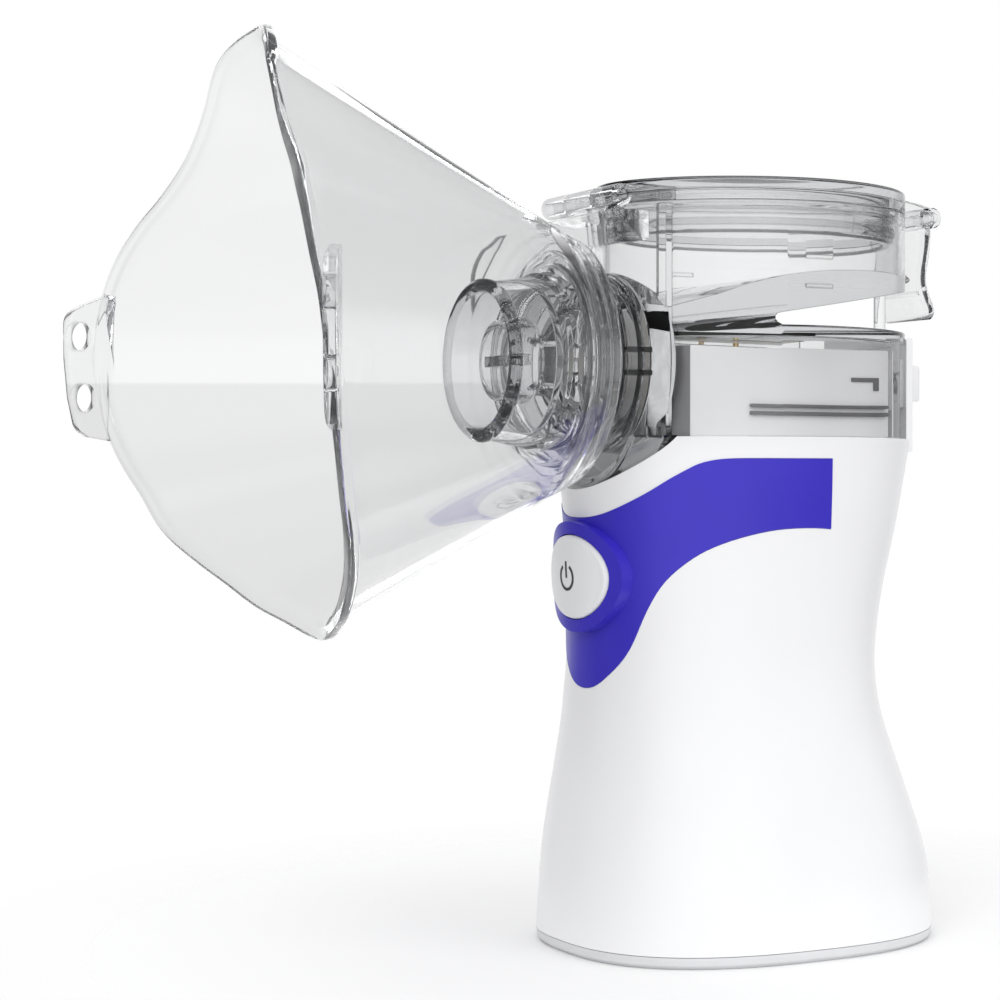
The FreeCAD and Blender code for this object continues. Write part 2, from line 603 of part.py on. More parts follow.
def lid_latch():
    first, second = [], []    # the two faces, either side of the mid line
    for i, (y, z) in enumerate(LATCH_MID):
        before, after = LATCH_MID[max(i - 1, 0)], LATCH_MID[min(i + 1, len(LATCH_MID) - 1)]
        run_y, run_z = after[0] - before[0], after[1] - before[1]
        scale = LATCH_HALF_T / math.hypot(run_y, run_z)
        off_y, off_z = -run_z * scale, run_y * scale
        first.append((y + off_y, z + off_z))
        second.append((y - off_y, z - off_z))
    latch = cyl_x(LATCH_R, -LATCH_X, LATCH_X, *LATCH)
    latch = latch.fuse(prism_yz(first + second[::-1], -LATCH_X, LATCH_X))
    tooth = prism_yz([(31.35, 102.2), (33.0, 101.6), (33.0, 103.2)], -5.0, 5.0)
    latch = latch.fuse(tooth).cut(cyl_x(PIN_BORE, -8, 8, *LATCH))
    return latch.removeSplitter()


def latch_pin():
    return cyl_x(PIN_R, -7.9, 7.9, *LATCH)


# ----------------------------------------------------------- adapter and mask
SEAT_R = 13.25              # seat the mask turns on
MASK_BORE = SEAT_R + 0.1
TUBE_R, TUBE_Y = 11.8, -45.97    # adapter mouth
MASK_Y0 = -31.5             # small end of the mask cone
# Mask rim from nose to chin: height, half width, y
RIM = [
    (135.5, 0.0, -80.0), (134, 5.6, -81.6), (132, 9.2, -82.6), (130, 10.9, -83.0),
    (126, 13.4, -83.2), (122, 16.3, -83.6), (118, 20.4, -84.3), (114, 26.2, -85.6),
    (110, 32.5, -87.4), (105, 38.6, -88.9), (100, 42.6, -89.6), (95, 45.4, -89.7),
    (90, 46.7, -89.6), (85, 46.6, -89.0), (80, 45.4, -88.0), (75, 43.0, -86.4),
    (70, 39.3, -84.3), (65, 36.0, -82.3), (60, 28.5, -79.0), (57, 22.3, -76.7),
    (54, 15.6, -74.6), (52, 8.8, -72.7), (50.0, 0.0, -71.0)]
# The rim as (angle, radius, y) about the port axis, on the +X side
RIM_POLAR = [(math.atan2(z - PORT_Z, x), math.hypot(z - PORT_Z, x), y) for z, x, y in RIM]
RIM_COUNT = 96
# Mask wall and lip section: 1 = offset from the rim or 0 = plain ring, radius, y
SECTION = [
    (0, 19.0, MASK_Y0), (1, -1.0, 1.6), (1, 0.9, 1.3), (1, 1.2, -0.1), (1, -1.2, -0.3),
    (0, 18.9, -34.1), (0, 17.0, -34.1), (0, 17.0, MASK_Y0)]

# Strap tabs: origin and direction in (x, y) on the +X side
TAB_ORIGIN, TAB_RUN, TAB_Z = (45.2, -88.7), (0.882, -0.471), 90.0
TAB_T = 1.6
# Tab outline and strap holes: distance outwards, height above TAB_Z
TAB = [
    (0.0, -12.0), (1.0, -11.8), (4.5, -11.2), (6.0, -10.4), (7.0, -9.0), (7.7, -7.0),
    (8.2, -5.0), (8.7, -1.5), (9.0, 1.5), (9.0, 5.4), (8.8, 7.2), (8.1, 8.6), (6.8, 9.3),
    (3.0, 10.3), (0.0, 11.2)]
TAB_HOLES, TAB_HOLE_R = [(6.1, 4.8), (5.1, -5.0)], 2.3


def mask_adapter():
    return revolve_y([
        (13.85, -29.2), (15.3, -29.2), (15.3, -33.3), (SEAT_R, -33.3), (SEAT_R, -36.8),
        (12.9, -37.2), (TUBE_R, -44.6), (12.1, -44.9), (12.1, -45.6), (11.7, TUBE_Y),
        (10.6, TUBE_Y), (10.2, -45.5), (10.9, -37.4), (11.2, -34.9), (11.2, -33.2),
        (13.85, -33.2)])


def spray_baffle():
    ring = revolve_y([(5.2, -37.0), (10.75, -37.0), (10.75, -38.2), (6.2, -38.2),
                      (6.2, -42.5), (5.2, -42.5)])
    return join(ring, mid_box(5.6, -42.0, -39.5, PORT_Z - 0.8, PORT_Z + 0.8))


def rim_slope(index, column):
    """Change of a rim column per radian; flat at nose and chin."""
    if index in (0, len(RIM_POLAR) - 1):
        return 0.0
    before, after = RIM_POLAR[index - 1], RIM_POLAR[index + 1]
    return (after[column] - before[column]) / (after[0] - before[0])


def rim_at(angle):
    """Radius and y of the rim by cubic Hermite interpolation."""
    for i, (start, end) in enumerate(zip(RIM_POLAR, RIM_POLAR[1:])):
        if start[0] >= angle >= end[0]:
            step = end[0] - start[0]
            u = (angle - start[0]) / step
            return [(2 * u ** 3 - 3 * u ** 2 + 1) * start[k]
                    + (u ** 3 - 2 * u ** 2 + u) * rim_slope(i, k) * step
                    + (-2 * u ** 3 + 3 * u ** 2) * end[k]
                    + (u ** 3 - u ** 2) * rim_slope(i + 1, k) * step for k in (1, 2)]


def ring_curve(follow, add_radius, add_y):
    limit = math.pi / 2 - 1e-9
    points = []
    for i in range(RIM_COUNT):
        angle = -math.pi / 2 + 2 * math.pi * i / RIM_COUNT
        # the -X side mirrors the +X side
        folded = angle if angle <= math.pi / 2 else math.pi - angle
        radius, y = rim_at(max(-limit, min(limit, folded)))
        radius, y = follow * radius + add_radius, follow * y + add_y
        points.append(Vector(radius * math.cos(angle), y, PORT_Z + radius * math.sin(angle)))
    return spline(points, True).toShape()


def strap_tab(side):
    run_x, run_y = TAB_RUN[0] * side, TAB_RUN[1]
    normal = Vector(-run_y * side, TAB_RUN[0], 0)

    def place(out, up):
        return Vector(TAB_ORIGIN[0] * side + run_x * out, TAB_ORIGIN[1] + run_y * out,
                      TAB_Z + up)

    solid = polygon_face([place(out, up) for out, up in TAB]).extrude(normal * TAB_T)
    for out, up in TAB_HOLES:
        solid = solid.cut(Part.makeCylinder(TAB_HOLE_R, 8, place(out, up) - normal * 3, normal))
    return solid


def face_mask():
    curves = [ring_curve(*row) for row in SECTION]
    shell = Part.makeShell([Part.makeRuledSurface(one, two)
                            for one, two in zip(curves, curves[1:] + curves[:1])])
    shell.sewShape(1e-4)
    wall = Part.makeSolid(shell)
    if wall.Volume < 0:
        wall.reverse()
    neck = revolve_y([(17.8, -32.5), (17.8, -33.9), (16.4, -33.9), (16.1, -35.0),
                      (MASK_BORE, -35.0), (MASK_BORE, -33.4), (15.7, -33.4), (16.0, -32.5)])
    mask = wall.fuse(neck)
    for side in (1, -1):
        mask = mask.fuse(strap_tab(side))
    return mask


# --------------------------------------------------------------------- export
os.makedirs("parts", exist_ok=True)
# each file takes its function's name
for build in (
        accent_panel, main_housing, base_plate, battery_door, door_hinge_pin, door_contact,
        base_screws, battery_tray, aa_cells, positive_contact, negative_spring,
        control_board, board_screws, drive_chip, boost_inductor, output_capacitors,
        tact_switch, switch_plunger, usb_socket, usb_board, power_button_cap, power_mark,
        connector_tower, contact_pins, tower_screws, release_button_cap, release_spring,
        medicine_cup, cup_electrodes, nozzle_housing, rear_seal, piezo_ring, mesh_disc,
        front_seal, lid_hinge_pin, lid_shell, lid_gasket, lid_latch, latch_pin,
        mask_adapter, spray_baffle, face_mask, tower_wires):
    build().exportStep("parts/%s.step" % build.__name__)
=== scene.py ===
import bpy, bmesh, math, json, os
from mathutils import Vector, Matrix

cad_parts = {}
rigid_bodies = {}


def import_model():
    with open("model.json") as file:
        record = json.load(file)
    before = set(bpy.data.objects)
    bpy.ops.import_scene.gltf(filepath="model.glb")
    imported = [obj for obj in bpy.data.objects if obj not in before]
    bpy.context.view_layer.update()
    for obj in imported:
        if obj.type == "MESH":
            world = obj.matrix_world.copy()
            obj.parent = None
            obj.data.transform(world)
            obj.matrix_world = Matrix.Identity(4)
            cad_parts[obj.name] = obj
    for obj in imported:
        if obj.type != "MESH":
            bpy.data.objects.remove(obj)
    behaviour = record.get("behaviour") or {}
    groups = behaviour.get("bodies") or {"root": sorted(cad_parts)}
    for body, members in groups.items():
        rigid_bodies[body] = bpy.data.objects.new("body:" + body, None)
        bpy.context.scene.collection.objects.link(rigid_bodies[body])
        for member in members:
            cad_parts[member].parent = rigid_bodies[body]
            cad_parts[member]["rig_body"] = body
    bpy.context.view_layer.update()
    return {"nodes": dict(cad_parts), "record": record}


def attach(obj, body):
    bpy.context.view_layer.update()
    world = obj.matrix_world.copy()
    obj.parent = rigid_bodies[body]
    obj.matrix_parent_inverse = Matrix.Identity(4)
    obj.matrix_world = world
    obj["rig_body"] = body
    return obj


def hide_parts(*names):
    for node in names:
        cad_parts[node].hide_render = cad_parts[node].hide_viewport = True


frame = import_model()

NODES = frame["nodes"]
MM = 0.001
scn = bpy.context.scene
COL = scn.collection

# ------------------------------------------------------------ shared outlines
BODY = [
    (1.9, 24.05, 31.25, 0.02, 2.56), (6.0, 24.2, 31.02, 0.05, 2.55),
    (11.1, 24.2, 30.50, -0.05, 2.54), (15.8, 23.8, 29.76, -0.38, 2.53),
    (20.9, 23.2, 28.47, -0.94, 2.52), (25.3, 22.6, 27.36, -1.38, 2.49),
    (30.1, 21.9, 26.15, -1.89, 2.45), (34.8, 21.2, 25.12, -2.36, 2.40),
    (39.5, 20.75, 24.50, -2.64, 2.36), (44.3, 20.45, 24.32, -2.58, 2.31),
    (49.0, 20.4, 24.72, -2.34, 2.27), (53.8, 20.45, 25.40, -2.00, 2.22),
    (58.5, 20.55, 26.25, -1.46, 2.17), (63.2, 20.7, 27.15, -0.84, 2.12),
    (68.0, 20.9, 28.08, -0.42, 2.08), (72.7, 21.05, 28.95, -0.08, 2.04),
    (78.4, 21.3, 29.85, 0.15, 2.0)]
CUP_A, CUP_B, CUP_N, CUP_YC = 20.1, 26.55, 1.89, 3.2
PORT_Z = 89.8
RIM = [
    (135.5, 0.0, -80.0), (134, 5.6, -81.6), (132, 9.2, -82.6), (130, 10.9, -83.0),
    (126, 13.4, -83.2), (122, 16.3, -83.6), (118, 20.4, -84.3), (114, 26.2, -85.6),
    (110, 32.5, -87.4), (105, 38.6, -88.9), (100, 42.6, -89.6), (95, 45.4, -89.7),
    (90, 46.7, -89.6), (85, 46.6, -89.0), (80, 45.4, -88.0), (75, 43.0, -86.4),
    (70, 39.3, -84.3), (65, 36.0, -82.3), (60, 28.5, -79.0), (57, 22.3, -76.7),
    (54, 15.6, -74.6), (52, 8.8, -72.7), (50.0, 0.0, -71.0)]


def hermite(rows, t, flat_ends=False):
    """Smooth value rows[i][1:] at rows[i][0] = t, rows sorted either way."""
    n = len(rows)
    up = rows[-1][0] > rows[0][0]
    if (t <= rows[0][0]) == up and (t <= rows[0][0] or not up):
        if (up and t <= rows[0][0]) or (not up and t >= rows[0][0]):
            return list(rows[0][1:])
    if (up and t >= rows[-1][0]) or (not up and t <= rows[-1][0]):
        return list(rows[-1][1:])
    for i in range(n - 1):
        a, b = rows[i], rows[i + 1]
        if (up and a[0] <= t <= b[0]) or (not up and a[0] >= t >= b[0]):
            h = b[0] - a[0]
            u = (t - a[0]) / h
            out = []
            for k in range(1, len(a)):
                def tan(j):
                    if flat_ends and j in (0, n - 1):
                        return 0.0
                    p, q = rows[max(j - 1, 0)], rows[min(j + 1, n - 1)]
                    return (q[k] - p[k]) / (q[0] - p[0])
                m0, m1 = tan(i) * h, tan(i + 1) * h
                out.append((2 * u ** 3 - 3 * u ** 2 + 1) * a[k] + (u ** 3 - 2 * u ** 2 + u) * m0
                           + (-2 * u ** 3 + 3 * u ** 2) * b[k] + (u ** 3 - u ** 2) * m1)
            return out
    return list(rows[-1][1:])


def body_row(z):
    return hermite(BODY, z)


def sell(a, b, n, yc, w):
    c, s = math.cos(w), math.sin(w)
    r = (abs(c / a) ** n + abs(s / b) ** n) ** (-1.0 / n)
    return r * c, yc + r * s


def body_pt(w, z, off=0.0):
    a, b, yc, n = body_row(z)
    return sell(a + off, b + off, n, yc, w)


def front_y(x, z, off=0.0):
    a, b, yc, n = body_row(z)
    q = max(0.0, 1 - abs(x / (a + off)) ** n)
    return yc - (b + off) * q ** (1 / n)


def cup_pt(w, off=0.0):
    return sell(CUP_A + off, CUP_B + off, CUP_N, CUP_YC, w)


# ------------------------------------------------------------- mesh helpers
def link(name, me):
    o = bpy.data.objects.new(name, me)
    COL.objects.link(o)
    return o


def smooth(o, angle=35.0):
    me = o.data
    for p in me.polygons:
        p.use_smooth = True
    bm = bmesh.new(); bm.from_mesh(me)
    lim = math.radians(angle)
    for e in bm.edges:
        e.smooth = not (len(e.link_faces) == 2 and e.calc_face_angle(0.0) > lim)
    bm.to_mesh(me); bm.free()
    return o


def outward(bm):
    bmesh.ops.recalc_face_normals(bm, faces=bm.faces)
    if bm.calc_volume(signed=True) < 0:
        bmesh.ops.reverse_faces(bm, faces=bm.faces)


def grid(name, rings, closed_u=True, closed_v=True, cap0=False, cap1=False, angle=40):
    """rings: list over u of lists over v of points in mm."""
    nu, nv = len(rings), len(rings[0])
    vs = [(p[0] * MM, p[1] * MM, p[2] * MM) for r in rings for p in r]
    fs = []
    for i in range(nu if closed_u else nu - 1):
        for j in range(nv if closed_v else nv - 1):
            a = i * nv + j; b = i * nv + (j + 1) % nv
            c = ((i + 1) % nu) * nv + (j + 1) % nv; d = ((i + 1) % nu) * nv + j
            fs.append((a, b, c, d))
    if cap0:
        fs.append(tuple(range(nv - 1, -1, -1)))
    if cap1:
        fs.append(tuple((nu - 1) * nv + j for j in range(nv)))
    me = bpy.data.meshes.new(name)
    me.from_pydata(vs, [], fs)
    bm = bmesh.new(); bm.from_mesh(me)
    outward(bm)
    bm.to_mesh(me); bm.free()
    o = link(name, me)
    return smooth(o, angle)


def round_poly(pts, seg=4, closed=True):
    """pts: (x, y, radius[, subdivisions of the edge that follows])."""
    n = len(pts)
    out = []
    for i, p in enumerate(pts):
        x, y, r = p[0], p[1], p[2]
        sub = p[3] if len(p) > 3 else 0
        a, b = pts[(i - 1) % n], pts[(i + 1) % n]
        ends = not closed and i in (0, n - 1)
        if r > 0 and not ends:
            v1 = (a[0] - x, a[1] - y); v2 = (b[0] - x, b[1] - y)
            l1, l2 = math.hypot(*v1), math.hypot(*v2)
            u1 = (v1[0] / l1, v1[1] / l1); u2 = (v2[0] / l2, v2[1] / l2)
            cosang = max(-0.9999, min(0.9999, u1[0] * u2[0] + u1[1] * u2[1]))
            half = math.acos(cosang) / 2
            t = min(r / math.tan(half), 0.48 * l1, 0.48 * l2)
            s = (x + u1[0] * t, y + u1[1] * t); e = (x + u2[0] * t, y + u2[1] * t)
            for k in range(seg + 1):
                q = k / seg
                w0, w1, w2 = (1 - q) ** 2, 2 * q * (1 - q), q * q
                out.append((w0 * s[0] + w1 * x + w2 * e[0], w0 * s[1] + w1 * y + w2 * e[1]))
        else:
            out.append((x, y))
        if sub and (closed or i < n - 1):
            last = out[-1]
            rb = b[2]
            for k in range(1, sub + 1):
                q = k / (sub + 1)
                # stop short of the next corner's own rounding
                out.append((last[0] + (b[0] - last[0]) * q * 0.97, last[1] + (b[1] - last[1]) * q * 0.97))
    return out


def lathe_y(name, prof, z=PORT_Z, n=128, seg=4, angle=40):
    """Closed (radius, y, corner radius) profile turned about the port axis."""
    pp = round_poly(prof, seg)
    rings = []
    for i in range(n):
        w = 2 * math.pi * i / n
        rings.append([(r * math.cos(w), y, z + r * math.sin(w)) for r, y in pp])
    return grid(name, rings, angle=angle)


def cup_ring(name, prof, n=200, seg=3, angle=40):
    """Closed (offset from the cup outline, z, corner radius) profile swept round the cup outline."""
    pp = round_poly(prof, seg)
    rings = []
    for i in range(n):
        w = 2 * math.pi * i / n
        rings.append([(*cup_pt(w, o), z) for o, z in pp])
    return grid(name, rings, angle=angle)


def cup_solid(name, prof, n=240, seg=4, angle=40):
    """Open (offset from the cup outline, z, corner radius) profile swept round the outline and capped at both ends."""
    pp = round_poly(prof, seg, closed=False)
    rings = [[(*cup_pt(2 * math.pi * i / n, o), z) for i in range(n)] for o, z in pp]
    return grid(name, rings, closed_u=False, closed_v=True, cap0=True, cap1=True, angle=angle)


def rod(name, axis, r, a0, a1, c, n=48, bev=0.15, seg=3):
    """Cylinder along an axis with rounded ends; c holds the other two coordinates in order."""
    prof = round_poly([(0.3 * r, a0, 0), (r, a0, bev), (r, a1, bev), (0.3 * r, a1, 0)], seg, closed=False)
    rings = []
    for rr, t in prof:
        ring = []
        for i in range(n):
            w = 2 * math.pi * i / n
            p, q = rr * math.cos(w), rr * math.sin(w)
            ring.append({"x": (t, c[0] + p, c[1] + q), "y": (c[0] + p, t, c[1] + q), "z": (c[0] + p, c[1] + q, t)}[axis])
        rings.append(ring)
    return grid(name, rings, closed_u=False, closed_v=True, cap0=True, cap1=True, angle=40)


def bar_x(name, pts, x0, x1, bev=0.0, seg=2):
    """Outline in (y, z) drawn out along X, with its end edges rounded."""
    n = len(pts)
    ins = bev
    xs = [(x0, ins), (x0 + bev * 0.3, ins * 0.3), (x0 + bev, 0.0), (x1 - bev, 0.0), (x1 - bev * 0.3, ins * 0.3), (x1, ins)] if bev else [(x0, 0.0), (x1, 0.0)]
    area = sum(pts[i][0] * pts[(i + 1) % n][1] - pts[(i + 1) % n][0] * pts[i][1] for i in range(n))
    sg = 1 if area > 0 else -1
    rings = []
    for x, d in xs:
        ring = []
        for i in range(n):
            a, b, c = pts[i - 1], pts[i], pts[(i + 1) % n]
            n1 = (-(b[1] - a[1]) * sg, (b[0] - a[0]) * sg); n2 = (-(c[1] - b[1]) * sg, (c[0] - b[0]) * sg)
            l1, l2 = math.hypot(*n1) or 1, math.hypot(*n2) or 1
            m = (n1[0] / l1 + n2[0] / l2, n1[1] / l1 + n2[1] / l2)
            q = max(0.6, (m[0] ** 2 + m[1] ** 2) / 2)
            ring.append((x, b[0] + m[0] / q * d, b[1] + m[1] / q * d))
        rings.append(ring)
    return grid(name, rings, closed_u=False, closed_v=True, cap0=True, cap1=True, angle=35)


def soften(o, test, width, seg=3, sharp=30.0):
    """Round the sharp edges whose ends both satisfy a test given in mm."""
    bm = bmesh.new(); bm.from_mesh(o.data)
    bmesh.ops.remove_doubles(bm, verts=bm.verts, dist=0.000003)
    es = []
    for e in bm.edges:
        if len(e.link_faces) == 2 and e.calc_face_angle(0.0) > math.radians(sharp):
            if all(test(v.co.x / MM, v.co.y / MM, v.co.z / MM) for v in e.verts):
                es.append(e)
    if es:
        bmesh.ops.bevel(bm, geom=es, offset=width * MM, segments=seg, profile=0.5, affect="EDGES", clamp_overlap=True)
    bm.to_mesh(o.data); bm.free()
    return o


def tidy(o, angle=38):
    bm = bmesh.new(); bm.from_mesh(o.data)
    bmesh.ops.remove_doubles(bm, verts=bm.verts, dist=0.000004)
    bmesh.ops.dissolve_degenerate(bm, edges=bm.edges, dist=0.000002)
    bm.to_mesh(o.data); bm.free()
    return smooth(o, angle)


def apply_mods(o):
    dg = bpy.context.evaluated_depsgraph_get()
    me = bpy.data.meshes.new_from_object(o.evaluated_get(dg))
    old = o.data
    o.modifiers.clear()
    o.data = me
    if old.users == 0:
        bpy.data.meshes.remove(old)
    return o


def boolean(o, cutter, op="DIFFERENCE", drop=True):
    m = o.modifiers.new("b", "BOOLEAN")
    m.operation = op; m.object = cutter; m.solver = "MANIFOLD"
    bpy.context.view_layer.update()
    apply_mods(o)
    if drop:
        bpy.data.objects.remove(cutter)
    return o


def box_obj(name, lo, hi, bev=0.0, seg=3):
    bm = bmesh.new()
    bmesh.ops.create_cube(bm, size=1.0)
    for v in bm.verts:
        v.co = Vector([(lo[k] + (v.co[k] + 0.5) * (hi[k] - lo[k])) * MM for k in range(3)])
    if bev:
        bmesh.ops.bevel(bm, geom=list(bm.edges), offset=bev * MM, segments=seg, profile=0.5, affect="EDGES")
    me = bpy.data.meshes.new(name); bm.to_mesh(me); bm.free()
    return smooth(link(name, me))


def refine(node, width=0.25, seg=2, lim=28.0, name=None, weld=0.002, dissolve=0.6):
    """A CAD node's shape with its edges softened, as its own piece."""
    src = NODES[node]
    bm = bmesh.new(); bm.from_mesh(src.data)
    bmesh.ops.remove_doubles(bm, verts=bm.verts, dist=weld * MM)
    bmesh.ops.recalc_face_normals(bm, faces=bm.faces)
    bmesh.ops.dissolve_limit(bm, angle_limit=math.radians(dissolve), verts=bm.verts, edges=bm.edges)
    me = bpy.data.meshes.new(name or node + "_shell")
    bm.to_mesh(me); bm.free()
    o = link(name or node + "_shell", me)
    if width > 0:
        m = o.modifiers.new("bev", "BEVEL")
        m.width = width * MM; m.segments = seg; m.limit_method = "ANGLE"
        m.angle_limit = math.radians(lim); m.use_clamp_overlap = True
        m.harden_normals = False
        bpy.context.view_layer.update()
        apply_mods(o)
    smooth(o, 38)
    body = src.get("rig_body")
    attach(o, body)
    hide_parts(node)
    return o


def add(o, body, slot, *nodes):
    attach(o, body)
    if nodes:
        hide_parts(*nodes)
    return o


# ------------------------------------------------------------- materials
def new_mat(name):
    m = bpy.data.materials.new(name)
    m.use_nodes = True
    nt = m.node_tree
    for n in list(nt.nodes):
        nt.nodes.remove(n)
    return m, nt, nt.nodes, nt.links


def noise_bump(nt, scale, strength, dist, detail=3.0, coord=None):
    N, L = nt.nodes, nt.links
    tc = N.new("ShaderNodeTexCoord")
    no = N.new("ShaderNodeTexNoise"); no.inputs["Scale"].default_value = scale
    no.inputs["Detail"].default_value = detail
    L.new(tc.outputs["Object"], no.inputs["Vector"])
    b = N.new("ShaderNodeBump"); b.inputs["Strength"].default_value = strength
    b.inputs["Distance"].default_value = dist
    L.new(no.outputs["Fac"], b.inputs["Height"])
    return b, no, tc


def plastic(name, col, rough=0.35, grain=2600, grain_s=0.12, coat=0.0, var=0.02, spec=0.5, metallic=0.0, sss=0.0):
    """Moulded plastic or plain metal: fine grain bump, faint colour and gloss variation."""
    m, nt, N, L = new_mat(name)
    out = N.new("ShaderNodeOutputMaterial"); p = N.new("ShaderNodeBsdfPrincipled")
    b, no, tc = noise_bump(nt, grain, grain_s, 0.00004)
    big = N.new("ShaderNodeTexNoise"); big.inputs["Scale"].default_value = 70; big.inputs["Detail"].default_value = 4
    L.new(tc.outputs["Object"], big.inputs["Vector"])
    mr = N.new("ShaderNodeMapRange"); mr.inputs["To Min"].default_value = rough - 0.05; mr.inputs["To Max"].default_value = rough + 0.06
    L.new(big.outputs["Fac"], mr.inputs["Value"]); L.new(mr.outputs["Result"], p.inputs["Roughness"])
    ramp = N.new("ShaderNodeValToRGB")
    lo = [max(0, c * (1 - var)) for c in col]; hi = [min(1, c * (1 + var)) for c in col]
    ramp.color_ramp.elements[0].position = 0.3; ramp.color_ramp.elements[1].position = 0.7
    ramp.color_ramp.elements[0].color = (*lo, 1); ramp.color_ramp.elements[1].color = (*hi, 1)
    L.new(big.outputs["Fac"], ramp.inputs["Fac"])
    L.new(ramp.outputs["Color"], p.inputs["Base Color"])
    L.new(b.outputs["Normal"], p.inputs["Normal"])
    p.inputs["Metallic"].default_value = metallic
    p.inputs["Specular IOR Level"].default_value = spec
    if coat:
        p.inputs["Coat Weight"].default_value = coat; p.inputs["Coat Roughness"].default_value = 0.12
    if sss:
        p.inputs["Subsurface Weight"].default_value = sss
        p.inputs["Subsurface Radius"].default_value = (0.002, 0.002, 0.002)
        p.inputs["Subsurface Scale"].default_value = 1.0
    L.new(p.outputs["BSDF"], out.inputs["Surface"])
    return m


